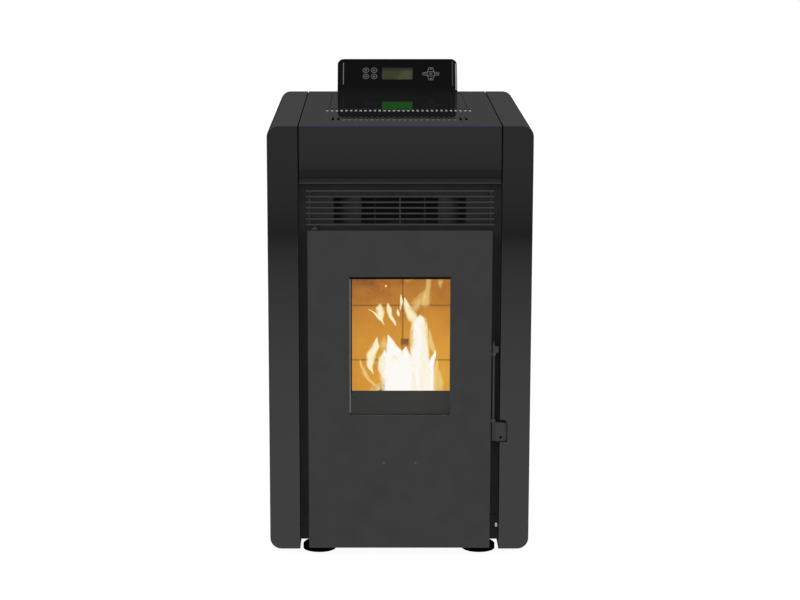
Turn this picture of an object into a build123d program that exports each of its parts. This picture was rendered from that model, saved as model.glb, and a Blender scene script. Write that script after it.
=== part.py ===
from build123d import *
import os
from math import cos, radians, sin, sqrt

# Pellet stove with a sheet-steel casing, a leaning control display, a glazed fire door with a
# turning latch, a hopper under a hinged lid and the fans, auger and burn pot that feed the fire.
# Millimetres. +Z is up, the door faces -Y, and the origin is on the floor under the middle of
# the whole object, flue spigot included.

# Casing
CASE_WIDTH = 460.0
CASE_DEPTH = 600.0
PANEL_HEIGHT = 758.0
FLOOR_GAP = 15.0          # floor to the underside of the side panels
SPIGOT_PROJECTION = 80.0  # flue spigot behind the rear panel
SHEET = 2.0
FIT = 0.2                 # between casing sheets that slide past each other
CORNER_RADIUS = 20.0      # long outer edges of the side panels
FRONT_EDGE_RADIUS = 1.5
STRIP_WIDTH = 53.5        # front strip of each side panel
RETURN_DEPTH = 18.0       # inner return of that strip
TOP_LIP = 12.0            # turned-down edges along the seams of the top
REAR_FLANGE = 20.0        # flange that the rear panel is screwed to
SEAM = 2.0                # between the top cover and a side panel

# Top cover
BAND_HEIGHT = 101.4       # front band of the cover
BAND_EDGE_RADIUS = 1.8
COVE_START = 80.0         # below the top
COVE_RADIUS = 17.0
COVE_ANGLE = 45.0
LIP_SETBACK = 5.0
LIP_THICKNESS = 7.4
WELL_DEPTH = 14.0         # gutter around the hopper lid
SLOT_WIDTH = 4.4
SLOT_PITCH = 8.7
SLOT_COUNT = 31
SLOT_FRONT = 225.0        # row of slots behind the front plane
SLOT_LENGTH = 50.0
FRONT_SLOT_PITCH = 9.8
FRONT_SLOT_COUNT = 25
FRONT_SLOT_FRONT = 80.0
FRONT_SLOT_LENGTH = 55.0
TRAY_DROP = 3.5           # bright tray under the rear row
TRAY_MARGIN = 5.0
TRAY_RIM = 1.0
FRONT_TRAY_DROP = 5.0     # shorter tray under the front row
FRONT_TRAY_WIDTH = 206.0

# Hopper lid
LID_WIDTH = 253.0
LID_FRONT = 280.0
LID_LENGTH = 265.0
LID_GAP = 1.0
LID_RIM = 10.0
LID_CORNER_RADIUS = 4.0
LID_AXIS_DROP = 6.0
LID_AXIS_INSET = 3.0
LID_PIN_RADIUS = 2.0
LID_BARREL_RADIUS = 4.6
LID_BARREL_LENGTH = 24.0
LID_BARREL_DISTANCE = 180.0
LID_LUG_THICKNESS = 3.0
LID_SWING_GAP = 0.4

# Hopper
MOUTH_MARGIN = 10.0
MOUTH_REAR_MARGIN = 22.0
SEAL_WIDTH = 5.0
SEAL_GAP = 0.3
HOPPER_KNEE = 113.0       # below the top: the walls slope from here down
HOPPER_OUTLET_DROP = 298.0
OUTLET_WIDTH = 64.0
GRATE_DROP = 40.0
GRATE_WIRE = 2.0
GRATE_PITCH = 19.0

# Display
DISPLAY_WIDTH = 239.0
DISPLAY_OFFSET = 1.5      # to the right of the middle
DISPLAY_SLANT = 73.0
DISPLAY_LEAN = 35.3       # back from upright
DISPLAY_SETBACK = 13.0    # face line at the level of the top, behind the casing
DISPLAY_THICKNESS = 16.0
DISPLAY_FOOT_DROP = 44.0
DISPLAY_RADIUS = 13.0
FACE_WIDTH = 219.0
FACE_START = 8.6
FACE_HEIGHT = 59.4
FACE_THICKNESS = 2.0
FACE_RADIUS = 4.0
LCD_WIDTH = 61.5
LCD_HEIGHT = 27.7
LCD_START = 26.2
KEY_RADIUS = 6.2
KEY_THICKNESS = 0.3
KEY_COLUMNS = (-63.0, -46.6)
KEY_ROWS = (32.9, 47.0)
PAD_CENTRE = (67.0, 38.9)
PAD_REACH = 19.0
PAD_PETAL_WIDTH = 13.5

# Base and feet
BASE_HEIGHT = 25.0
BASE_FLANGE_HEIGHT = 45.0
RECESS_DEPTH = 30.0       # front frame behind the front plane
FOOT_RADIUS = 29.5
FOOT_THICKNESS = 10.0
FOOT_SPREAD = 287.0
FOOT_INSET = 57.5
STUD_RADIUS = 5.0
NUT_RADIUS = 9.0
NUT_HEIGHT = 8.0

# Front frame, grille and heat exchanger
FIRE_OPENING_WIDTH = 236.0
FIRE_OPENING_HEIGHT = 467.0
CELL_TOP_DROP = 127.0
CELL_HEIGHT = 48.0
CELL_REACH = 116.0
POST_X = 69.0
POST_WIDTH = 3.5
BLADE_X = 43.5
BLADE_WIDTH = 1.5
VANE_RADIUS = 34.0
EXCHANGER_HEIGHT = 60.0
EXCHANGER_WALL = 3.0
BAR_COUNT = 7
BAR_PITCH = 9.83
BAR_RADIUS = 1.7
BAR_LENGTH = 326.0
BAR_TOP_DROP = 114.5
BAR_DEPTH = 5.0
WIRE_RADIUS = 1.2
STANDOFF_RADIUS = 1.5
WIRE_X = 157.5

# Door
DOOR_GAP = 15.5
DOOR_DROP = 184.0
DOOR_HEIGHT = 572.6
DOOR_SETBACK = 1.0
DOOR_SHEET = 2.5
DOOR_RETURN = 13.0
DOOR_EDGE_RADIUS = 1.0
WINDOW_WIDTH = 177.0
WINDOW_DROP = 265.0
WINDOW_HEIGHT = 249.0
WINDOW_RADIUS = 5.0
VIEW_MARGIN = 4.5         # inner frame's rim inside the window's top edge
VIEW_HEIGHT = 203.5       # part of the window that shows the fire
GLASS_MARGIN = 4.5
GLASS_THICKNESS = 4.0
GLASS_GASKET = 2.0
GLASS_CLIP = 2.5
FRAME_INSET = 25.0        # inner frame inside the door skin
FRAME_DEPTH = 22.0
FRAME_WALL = 3.0
GASKET_WIDTH = 8.0
GASKET_GAP = 0.3
RIVET_SPREAD = 56.0
RIVET_DROP = 600.0
RIVET_RADIUS = 2.2
RIVET_HEAD = 0.8

# Door hinge
HINGE_INSET = 12.5
HINGE_DEPTH = 11.0
HINGE_PIN_RADIUS = 3.0
HINGE_HEAD_RADIUS = 4.0
RUNNING_GAP = 0.05
HINGE_PLATE = 3.0
HINGE_PLATE_WIDTH = 13.0
HINGE_ARM_OFFSET = 2.0    # arm edge beside the pin, so that the open door clears it
HINGE_GAP = 1.5
HINGE_LUG_HEIGHT = 10.0
LOWER_HINGE_RISE = 9.0    # lower hinge plate above the base plate's underside

# Latch
ROD_RADIUS = 2.8
ROD_OFFSET = 4.1          # rod axis beside the door's edge
ROD_DEPTH = 9.0
ROD_TOP_DROP = 401.0
ROD_LENGTH = 126.0
GRIP_HEIGHT = 33.5
GRIP_REACH = 24.0
GRIP_THICKNESS = 11.0
GRIP_HUB_RADIUS = 3.7
GRIP_HOLE_RADIUS = 2.6
GRIP_HOLE_REACH = 13.5
CAM_HEIGHT = 11.0
CAM_TIP = 9.0             # tapered end above the cam
CAM_REACH = 9.5
CAM_THICKNESS = 5.0
BRACKET_HEIGHT = 5.0
BRACKET_GAP = 0.3
NOTCH_GAP = 0.5
NOTCH_RADIUS = 8.0
NOTCH_TOP_GAP = 6.0
KEEPER_GAP = 0.4
KEEPER_WIDTH = 5.5

# Firebox
FIREBOX_WIDTH = 280.0
FIREBOX_DEPTH = 222.0
FIREBOX_LIFT = 73.0       # above the base plate
FIREBOX_HEIGHT = 492.0
FIREBOX_WALL = 4.0
LINING_HEIGHT = 466.0
SIDE_LINING = 12.0
BACK_LINING = 20.0
LINING_FRONT_GAP = 24.0
BRICK_PITCH = 103.4
BRICK_JOINT = 3.0
BRICK_JOINT_DEPTH = 2.0
BRICK_LOWEST_JOINT = 101.6
BRICK_UPRIGHT_X = 8.0     # upright joint of the back lining
PEEPHOLE_SIZE = 15.0
PEEPHOLE_X = 12.0
PEEPHOLE_HEIGHT = 238.0
BAFFLE_THICKNESS = 8.0

# Burn pot, holder, igniter and ash pan
HOLDER_WIDTH = 90.0
HOLDER_FRONT = 85.0       # behind the front plane
HOLDER_HEIGHT = 57.0
HOLDER_RISE = 101.0       # above the firebox floor
HOLDER_WALL = 3.0
POT_WIDTH = 68.0
POT_DEPTH = 64.0
POT_FRONT = 98.0
POT_DROP = 42.0
POT_WALL = 4.0
POT_RIM = 8.0
POT_FLANGE = 4.0
POT_SIDE_GAP = 3.0
POT_HOLE_RADIUS = 2.0
POT_HOLE_COUNT = 5
POT_HOLE_PITCH = 11.0
IGNITER_RADIUS = 5.0
IGNITER_LENGTH = 130.0
IGNITER_POT_GAP = 4.0
PAN_WIDTH = 220.0
PAN_DEPTH = 180.0
PAN_HEIGHT = 76.0
PAN_FRONT = 45.0
PAN_WALL = 1.5
PAN_HANDLE_WIDTH = 80.0
PAN_HANDLE_RADIUS = 3.0
PAN_HANDLE_REACH = 8.0

# Combustion air pipe and flue
PIPE_RADIUS = 24.0
PIPE_WALL = 2.0
PIPE_PROJECTION = 25.0
SPIGOT_RADIUS = 40.0
SPIGOT_WALL = 2.0
PIPE_STEP = 0.6           # pipes are this much slimmer inside the casing

# Auger and chute
AUGER_ANGLE = 45.0
AUGER_FOOT_DEPTH = 505.0
AUGER_FOOT_HEIGHT = 345.0
AUGER_LENGTH = 268.0
AUGER_TUBE_RADIUS = 32.0
AUGER_TUBE_WALL = 2.5
AUGER_SCREW_GAP = 2.0
AUGER_SHAFT_RADIUS = 7.0
AUGER_PITCH = 40.0
AUGER_FLIGHT_ARC = 22.0
GEARBOX_SIZE = 44.0
GEARBOX_LENGTH = 34.0
GEARMOTOR_RADIUS = 20.0
GEARMOTOR_LENGTH = 28.0
CHUTE_WIDTH = 68.0
CHUTE_DEPTH = 44.0
CHUTE_WALL = 2.0

# Exhaust fan
EXHAUST_X = -67.0
EXHAUST_DEPTH = 420.0
EXHAUST_HEIGHT = 150.0
SCROLL_RADIUS = 72.0
SCROLL_WIDTH = 44.0
SCROLL_WALL = 2.5
IMPELLER_RADIUS = 58.0
IMPELLER_WIDTH = 28.0
IMPELLER_BLADES = 12
FAN_SHAFT_RADIUS = 4.0
FAN_SHAFT_GRIP = 20.0
FAN_INLET_RADIUS = 34.0
OUTLET_BOX_SIZE = 84.0
OUTLET_BOX_DEPTH = 40.0
OUTLET_NECK = 30.0
EXHAUST_MOTOR_RADIUS = 33.0
EXHAUST_MOTOR_LENGTH = 66.0
DUCT_WIDTH = 40.0
DUCT_HEIGHT = 90.0
PEDESTAL_THICKNESS = 4.0
PEDESTAL_DEPTH = 60.0

# Room-air fan and riser
ROOM_FAN_X = 110.0
ROOM_FAN_WIDTH = 88.0
ROOM_SCROLL_RADIUS = 62.0
ROOM_ROTOR_RADIUS = 48.0
ROOM_ROTOR_WIDTH = 70.0
ROOM_ROTOR_BLADES = 24
ROOM_INLET_RADIUS = 40.0
ROOM_NECK_TOP = 200.0
ROOM_MOTOR_RADIUS = 30.0
ROOM_MOTOR_LENGTH = 52.0
RISER_DEPTH = 26.0
RISER_WIDTH = 92.0
RISER_WALL = 2.0

# Electrics
BOARD_LENGTH = 120.0
BOARD_HEIGHT = 150.0
BOARD_FRONT = 400.0
BOARD_BOTTOM = 300.0
BOARD_STANDOFF = 10.0
TRANSFORMER_SIZE = (30.0, 40.0, 30.0)
TRANSFORMER_START = (20.0, 20.0)
RELAY_SIZE = (16.0, 20.0, 30.0)
RELAY_START = (20.0, 80.0)
RELAY_PITCH = 30.0
RELAY_COUNT = 3
INLET_INSET = 60.0        # middle of the mains inlet, from the casing's side
INLET_BOTTOM = 70.0
INLET_WIDTH = 32.0
INLET_HEIGHT = 76.0
INLET_DEPTH = 28.0
INLET_FLANGE = 2.5
SOCKET_WIDTH = 24.0
SOCKET_HEIGHT = 18.0
SOCKET_DEPTH = 20.0
ROCKER_WIDTH = 20.0
ROCKER_HEIGHT = 23.0
ROCKER_THROW = 10.0       # either side of the middle
ROCKER_GAP = 0.5
VENT_COLUMNS = 9
VENT_ROWS = 5
VENT_SIZE = (8.0, 14.0)
VENT_PITCH = (13.0, 20.0)
VENT_X = 90.0
VENT_BOTTOM = 160.0
SCREW_RADIUS = 4.0
SCREW_HEAD = 2.2
SCREW_SHANK_RADIUS = 1.8
SCREW_ROWS = 4
FLANGE_SCREW_RISE = 26.5
CUT = 1.0                 # overshoot of cutting tools

# Planes and lines that several pieces share
HALF = CASE_WIDTH / 2
FRONT_Y = -(CASE_DEPTH + SPIGOT_PROJECTION) / 2
BACK_Y = FRONT_Y + CASE_DEPTH
REAR_Y = BACK_Y - SHEET
TOP_Z = FLOOR_GAP + PANEL_HEIGHT
WALL_X = HALF - SHEET
STRIP_X = HALF - STRIP_WIDTH
COVER_X = STRIP_X - SEAM
INNER_RADIUS = CORNER_RADIUS - SHEET
INLET_X = HALF - INLET_INSET


def deep(distance):
    """The y of a depth behind the front plane."""
    return FRONT_Y + distance


def drop(distance):
    """The z of a distance below the top."""
    return TOP_Z - distance


def block(x0, x1, y0, y1, z0, z1):
    """A block between two x, two y and two z values."""
    return Pos((x0 + x1) / 2, (y0 + y1) / 2, (z0 + z1) / 2) * Box(x1 - x0, y1 - y0, z1 - z0)


def rod_x(x0, x1, y, z, radius):
    """A cylinder along X."""
    return Pos((x0 + x1) / 2, y, z) * Rot(0, 90, 0) * Cylinder(radius, x1 - x0)


def rod_y(x, y0, y1, z, radius):
    """A cylinder along Y."""
    return Pos(x, (y0 + y1) / 2, z) * Rot(90, 0, 0) * Cylinder(radius, y1 - y0)


def rod_z(x, y, z0, z1, radius):
    """A cylinder along Z."""
    return Pos(x, y, (z0 + z1) / 2) * Cylinder(radius, z1 - z0)


def side_prism(points, x0, x1):
    """A prism along X whose outline is drawn in y and z."""
    outline = make_face(Polyline(*[(x0, y, z) for y, z in points], close=True))
    return extrude(outline, amount=x1 - x0, dir=(1, 0, 0))


def other_side(shape):
    """The mirror image on the other side of the middle plane."""
    return mirror(shape, about=Plane.YZ)


def long_edges(shape, axis, key, count):
    """The edges along an axis that score highest by a key."""
    return sorted(shape.edges().filter_by(axis), key=key)[-count:]


def inside_casing(y0, y1):
    """The space between the two side panels, with their rounded inner corners and a sliding fit."""
    half = WALL_X - FIT
    space = block(-half, half, y0, y1, FLOOR_GAP + SHEET, TOP_Z - SHEET)
    return fillet(space.edges().filter_by(Axis.Y), INNER_RADIUS)


def spread(count, pitch):
    """Centred positions of a row."""
    return [(i - (count - 1) / 2) * pitch for i in range(count)]


# ---------------------------------------------------------------- casing

BASE_TOP = BASE_HEIGHT + SHEET
FRAME_Y = deep(RECESS_DEPTH)
FRAME_BACK = FRAME_Y + SHEET
FLANGE_Y = FRAME_Y - SHEET
DOOR_X = STRIP_X - DOOR_GAP
ROD_X = DOOR_X + ROD_OFFSET
ROD_Y = deep(ROD_DEPTH)
ROD_BOTTOM = drop(ROD_TOP_DROP) - ROD_LENGTH
GRIP_BOTTOM = ROD_BOTTOM - GRIP_HEIGHT
GRIP_SWEEP = sqrt(GRIP_REACH ** 2 + (GRIP_THICKNESS / 2) ** 2)
NOTCH_X = ROD_X + GRIP_SWEEP + NOTCH_GAP


def side_panel():
    """Right side panel: one sheet folded round the front, the top, the bottom and the back edge."""
    outer = block(STRIP_X, HALF, FRONT_Y, BACK_Y, FLOOR_GAP, TOP_Z)
    outer = fillet(long_edges(outer, Axis.Y, lambda e: e.center().X, 2), CORNER_RADIUS)
    outer = fillet(outer.faces().sort_by(Axis.Y)[0].edges(), FRONT_EDGE_RADIUS)
    inner = block(STRIP_X - CUT, WALL_X, FRONT_Y + SHEET, BACK_Y + CUT, FLOOR_GAP + SHEET, TOP_Z - SHEET)
    inner = fillet(long_edges(inner, Axis.Y, lambda e: e.center().X, 2), INNER_RADIUS)
    inner_return = block(
        STRIP_X, STRIP_X + SHEET, FRONT_Y + FRONT_EDGE_RADIUS, deep(RETURN_DEPTH),
        FLOOR_GAP + SHEET / 2, TOP_Z - SHEET / 2,
    )
    top_lip = block(
        STRIP_X, STRIP_X + SHEET, FRONT_Y + SHEET, REAR_Y - FIT, drop(TOP_LIP), TOP_Z - SHEET / 2
    )
    rear_flange = block(
        WALL_X - REAR_FLANGE, WALL_X + SHEET / 2, REAR_Y - SHEET, REAR_Y,
        BASE_HEIGHT + BASE_FLANGE_HEIGHT, drop(BASE_FLANGE_HEIGHT),
    )
    y0, y1 = REAR_Y - SHEET - CUT, REAR_Y + CUT
    holes = [rod_y(x, y0, y1, z, SCREW_SHANK_RADIUS) for x, z in rear_screw_places()]
    return outer - inner + inner_return + top_lip + (rear_flange - holes)


def right_side_panel():
    """The side panel with the notch that the latch grip lies in."""
    notch = block(
        STRIP_X - CUT, NOTCH_X, FRONT_Y - CUT, deep(RETURN_DEPTH) + CUT,
        GRIP_BOTTOM - BRACKET_GAP * 2, GRIP_BOTTOM + GRIP_HEIGHT + NOTCH_TOP_GAP,
    )
    notch = fillet(long_edges(notch, Axis.Y, lambda e: e.center().X + e.center().Z, 1), NOTCH_RADIUS)
    return side_panel() - notch


def base_plate():
    """Base tray with a tall front flange and side and rear upstands."""
    half = WALL_X - FIT
    plate = block(-half, half, FLANGE_Y, REAR_Y, BASE_HEIGHT, BASE_TOP)
    flange = block(-half, half, FLANGE_Y, FRAME_Y, BASE_HEIGHT, BASE_HEIGHT + BASE_FLANGE_HEIGHT)
    upstand = block(half - SHEET, half, FRAME_BACK + FIT, REAR_Y, BASE_HEIGHT, BASE_TOP + REAR_FLANGE)
    rear = block(-half, half, REAR_Y - SHEET, REAR_Y, BASE_HEIGHT, BASE_TOP + REAR_FLANGE)
    tray = (plate + flange + upstand + other_side(upstand) + rear) & inside_casing(FLANGE_Y, REAR_Y)
    for x, y in foot_places():
        tray -= rod_z(x, y, BASE_HEIGHT - CUT, BASE_TOP + CUT, STUD_RADIUS)
    for x in (-FLANGE_SCREW_X, FLANGE_SCREW_X):
        tray -= rod_y(x, FLANGE_Y - CUT, FRAME_Y + CUT, FLANGE_SCREW_Z, SCREW_SHANK_RADIUS)
    return tray


def rear_panel():
    """Rear panel with the holes for the flue, the air pipe, the mains inlet and the intake vents."""
    panel = inside_casing(REAR_Y, BACK_Y) & block(-HALF, HALF, REAR_Y, BACK_Y, BASE_HEIGHT, TOP_Z - SHEET)
    panel -= rod_y(EXHAUST_X, REAR_Y - CUT, BACK_Y + CUT, FLUE_Z, SPIGOT_RADIUS + FIT)
    panel -= rod_y(0, REAR_Y - CUT, BACK_Y + CUT, PIPE_Z, PIPE_RADIUS + FIT)
    panel -= block(
        INLET_X - INLET_WIDTH / 2 - FIT, INLET_X + INLET_WIDTH / 2 + FIT, REAR_Y - CUT, BACK_Y + CUT,
        INLET_BOTTOM - FIT, INLET_BOTTOM + INLET_HEIGHT + FIT,
    )
    vents = [
        block(
            VENT_X + dx - VENT_SIZE[0] / 2, VENT_X + dx + VENT_SIZE[0] / 2, REAR_Y - CUT, BACK_Y + CUT,
            VENT_BOTTOM + row * VENT_PITCH[1], VENT_BOTTOM + row * VENT_PITCH[1] + VENT_SIZE[1],
        )
        for dx in spread(VENT_COLUMNS, VENT_PITCH[0])
        for row in range(VENT_ROWS)
    ]
    shanks = [rod_y(x, REAR_Y - CUT, BACK_Y + CUT, z, SCREW_SHANK_RADIUS) for x, z in rear_screw_places()]
    return panel - vents - shanks


def front_frame():
    """Dark plate behind the door and the grille, with the fire opening and the warm-air openings."""
    plate = inside_casing(FRAME_Y, FRAME_BACK) & block(
        -HALF, HALF, FRAME_Y, FRAME_BACK, BASE_TOP, drop(TOP_LIP + SHEET)
    )
    plate -= block(
        -FIRE_OPENING_WIDTH / 2, FIRE_OPENING_WIDTH / 2, FRAME_Y - CUT, FRAME_BACK + CUT,
        FIRE_FLOOR, FIRE_FLOOR + FIRE_OPENING_HEIGHT,
    )
    cell_top = drop(CELL_TOP_DROP)
    for x0, x1 in cell_spans(CELL_REACH, ((POST_X, POST_WIDTH),)):
        plate -= block(x0, x1, FRAME_Y - CUT, FRAME_BACK + CUT, cell_top - CELL_HEIGHT, cell_top)
    for x in (-FLANGE_SCREW_X, FLANGE_SCREW_X):
        plate -= rod_y(x, FRAME_Y - CUT, FRAME_BACK + CUT, FLANGE_SCREW_Z, SCREW_SHANK_RADIUS)
    return plate


def cell_spans(reach, walls):
    """Spans in x between -reach and reach that upright walls at +-x leave open."""
    spans = []
    start = -reach
    both = sorted([(-x, w) for x, w in walls] + [(x, w) for x, w in walls])
    for x, width in both:
        spans.append((start, x - width / 2))
        start = x + width / 2
    spans.append((start, reach))
    return spans


def air_grille():
    """Warm-air grille: level bars welded to two upright wires, a middle bar and four stand-offs."""
    y = deep(BAR_DEPTH)
    heights = [drop(BAR_TOP_DROP + i * BAR_PITCH) for i in range(BAR_COUNT)]
    back_y = y + BAR_RADIUS + WIRE_RADIUS / 2
    grille = rod_z(0, back_y, heights[-1], heights[1], STANDOFF_RADIUS)
    for z in heights:
        grille += rod_x(-BAR_LENGTH / 2, BAR_LENGTH / 2, y, z, BAR_RADIUS)
    for x in (-WIRE_X, WIRE_X):
        grille += rod_z(x, back_y, heights[-1], heights[0], WIRE_RADIUS)
        for z in (heights[1], heights[-2]):
            grille += rod_y(x, back_y, FRAME_Y, z, STANDOFF_RADIUS)
    return grille


# ---------------------------------------------------------------- top cover, lid and hopper

LID_X = LID_WIDTH / 2
LID_Y0 = deep(LID_FRONT)
LID_Y1 = LID_Y0 + LID_LENGTH
LID_AXIS_Y = LID_Y1 - LID_AXIS_INSET
LID_AXIS_Z = TOP_Z - LID_AXIS_DROP
WELL_X = LID_X + LID_GAP
WELL_Y0 = LID_Y0 - LID_GAP
WELL_Y1 = LID_AXIS_Y + sqrt(LID_AXIS_DROP ** 2 + LID_AXIS_INSET ** 2) + LID_SWING_GAP
WELL_FLOOR = TOP_Z - WELL_DEPTH
MOUTH_X = LID_X - MOUTH_MARGIN
MOUTH_Y0 = LID_Y0 + MOUTH_MARGIN
MOUTH_Y1 = LID_Y1 - MOUTH_REAR_MARGIN


def top_cover():
    """Glossy top with its front band, cove and hem, the lid well and two rows of warm-air slots."""
    top = block(-COVER_X, COVER_X, FRONT_Y, BACK_Y, TOP_Z - SHEET, TOP_Z)
    top += block(-COVER_X, COVER_X, FRONT_Y, FRONT_Y + SHEET, drop(COVE_START), TOP_Z)
    front_edge = [e for e in top.edges().filter_by(Axis.X) if e.center().Z > TOP_Z - FIT]
    top = fillet(sorted(front_edge, key=lambda e: e.center().Y)[0], BAND_EDGE_RADIUS)
    cover = top + cove() + seam_edges()
    hem_top = drop(BAND_HEIGHT) + BAND_HEIGHT - COVE_START - COVE_RADIUS * sin(radians(COVE_ANGLE - 3))
    hem_y = FRONT_Y + LIP_SETBACK
    cover += block(-COVER_X, COVER_X, hem_y, hem_y + LIP_THICKNESS, drop(BAND_HEIGHT), hem_top)
    cover += block(
        -WELL_X - SHEET, WELL_X + SHEET, WELL_Y0 - SHEET, WELL_Y1 + SHEET, WELL_FLOOR, TOP_Z - SHEET / 2
    )
    cover -= block(-WELL_X, WELL_X, WELL_Y0, WELL_Y1, WELL_FLOOR - CUT, TOP_Z + CUT)
    return cover - slot_row(SLOT_COUNT, SLOT_PITCH, SLOT_FRONT, SLOT_LENGTH) - slot_row(
        FRONT_SLOT_COUNT, FRONT_SLOT_PITCH, FRONT_SLOT_FRONT, FRONT_SLOT_LENGTH
    )


def cove():
    """The band's lower edge, curving inwards above the hem."""
    axis_y = FRONT_Y + COVE_RADIUS
    axis_z = drop(COVE_START)
    ring = rod_x(-COVER_X, COVER_X, axis_y, axis_z, COVE_RADIUS)
    ring -= rod_x(-COVER_X - CUT, COVER_X + CUT, axis_y, axis_z, COVE_RADIUS - SHEET)
    reach = 2 * COVE_RADIUS
    turn = radians(COVE_ANGLE)
    wedge = side_prism(
        [
            (axis_y, axis_z),
            (axis_y - reach, axis_z),
            (axis_y - reach, axis_z - reach * sin(turn)),
            (axis_y - reach * cos(turn), axis_z - reach * sin(turn)),
        ],
        -COVER_X, COVER_X,
    )
    return ring & wedge


def seam_edges():
    """Turned-down edges along both seams of the top and returns behind the band."""
    lip = block(
        COVER_X - SHEET, COVER_X, FRONT_Y + SHEET / 2, REAR_Y - FIT, drop(TOP_LIP), TOP_Z - SHEET / 2
    )
    band_return = block(
        COVER_X - SHEET, COVER_X, FRONT_Y + COVE_RADIUS / 2, deep(RETURN_DEPTH), drop(BAND_HEIGHT),
        TOP_Z - SHEET / 2,
    )
    upper_return = block(
        COVER_X - SHEET, COVER_X, FRONT_Y + SHEET / 2, deep(RETURN_DEPTH), drop(COVE_START), TOP_Z - SHEET / 2
    )
    edge = lip + band_return + upper_return
    return edge + other_side(edge)


def slot_row(count, pitch, front, length):
    """Cutting tools for a row of slots that run front to back."""
    y = deep(front) + length / 2
    row = Sketch() + [Pos(x, y) * SlotOverall(length, SLOT_WIDTH, rotation=90) for x in spread(count, pitch)]
    return Pos(0, 0, TOP_Z - SHEET - CUT) * extrude(row, amount=SHEET + 2 * CUT)


def slot_tray():
    """Bright trays under both rows of slots; warm air comes up past their open fronts and backs."""
    rear_half = SLOT_PITCH * SLOT_COUNT / 2 + TRAY_MARGIN
    rear_end = min(deep(SLOT_FRONT) + SLOT_LENGTH + TRAY_MARGIN, WELL_Y0 - SHEET)
    rear = hung_sheet(rear_half, deep(SLOT_FRONT) - TRAY_MARGIN, rear_end, TRAY_DROP)
    front_end = deep(FRONT_SLOT_FRONT) + FRONT_SLOT_LENGTH + TRAY_MARGIN
    return rear + hung_sheet(
        FRONT_TRAY_WIDTH / 2, deep(FRONT_SLOT_FRONT) - TRAY_MARGIN, front_end, FRONT_TRAY_DROP
    )


def hung_sheet(half, y0, y1, below):
    """A level sheet that hangs under the top by an upstand at either end."""
    sheet = block(-half, half, y0, y1, drop(below), drop(below) + TRAY_RIM)
    hanger = block(half - TRAY_RIM, half, y0, y1, drop(below), TOP_Z - SHEET)
    return sheet + hanger + other_side(hanger)


def hopper_lid():
    """Hopper lid: a flat sheet with three turned-down rims and two hinge barrels."""
    outer = block(-LID_X, LID_X, LID_Y0, LID_Y1, drop(LID_RIM), TOP_Z)
    outer = fillet(outer.edges().filter_by(Axis.Z), LID_CORNER_RADIUS)
    inside = block(
        -LID_X + SHEET, LID_X - SHEET, LID_Y0 + SHEET, LID_Y1 + CUT, drop(LID_RIM) - CUT, TOP_Z - SHEET
    )
    behind = block(
        -LID_X - CUT, LID_X + CUT, barrel_front(), LID_Y1 + CUT, drop(LID_RIM) - CUT, TOP_Z - SHEET
    )
    lid = outer - inside - behind
    for x in (-LID_BARREL_DISTANCE / 2, LID_BARREL_DISTANCE / 2):
        x0 = x - LID_BARREL_LENGTH / 2
        lid += rod_x(x0, x0 + LID_BARREL_LENGTH, LID_AXIS_Y, LID_AXIS_Z, LID_BARREL_RADIUS)
        lid -= rod_x(
            x0 - CUT, x0 + LID_BARREL_LENGTH + CUT, LID_AXIS_Y, LID_AXIS_Z, LID_PIN_RADIUS + RUNNING_GAP
        )
    return lid


def barrel_front():
    """Where the side rims of the lid stop in front of its hinges."""
    return LID_AXIS_Y - 2 * LID_BARREL_RADIUS


def lid_hinges():
    """Two hinge brackets on the hopper flange, each with two lugs and its pin."""
    lug_radius = LID_AXIS_DROP - SHEET - LID_SWING_GAP
    brackets = Part()
    for x in (-LID_BARREL_DISTANCE / 2, LID_BARREL_DISTANCE / 2):
        near = LID_BARREL_LENGTH / 2 + SEAL_GAP
        far = near + LID_LUG_THICKNESS
        bracket = block(
            x - far, x + far, LID_AXIS_Y - lug_radius, LID_AXIS_Y + lug_radius, WELL_FLOOR, WELL_FLOOR + SHEET
        )
        for x0, x1 in ((x - far, x - near), (x + near, x + far)):
            bracket += rod_x(x0, x1, LID_AXIS_Y, LID_AXIS_Z, lug_radius)
            bracket += block(x0, x1, LID_AXIS_Y - lug_radius, LID_AXIS_Y + lug_radius, WELL_FLOOR, LID_AXIS_Z)
        brackets += bracket + rod_x(x - far, x + far, LID_AXIS_Y, LID_AXIS_Z, LID_PIN_RADIUS)
    return brackets


def lid_seal():
    """Rubber seal around the hopper's mouth, just under the closed lid."""
    outer = block(
        -MOUTH_X - SHEET - SEAL_WIDTH, MOUTH_X + SHEET + SEAL_WIDTH, MOUTH_Y0 - SHEET - SEAL_WIDTH,
        MOUTH_Y1 + SHEET + SEAL_WIDTH, WELL_FLOOR, TOP_Z - SHEET - SEAL_GAP,
    )
    return outer - block(
        -MOUTH_X - SHEET, MOUTH_X + SHEET, MOUTH_Y0 - SHEET, MOUTH_Y1 + SHEET, WELL_FLOOR - CUT, TOP_Z
    )


def hopper():
    """Sheet hopper: a flange under the lid well, upright walls and a funnel down to the auger."""
    flange = block(
        -WELL_X - 2 * SHEET, WELL_X + 2 * SHEET, WELL_Y0 - 2 * SHEET, WELL_Y1 + 2 * SHEET,
        WELL_FLOOR - SHEET, WELL_FLOOR,
    )
    return flange + hopper_body(SHEET, WELL_FLOOR - SHEET) - hopper_body(0, WELL_FLOOR + CUT)


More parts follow.
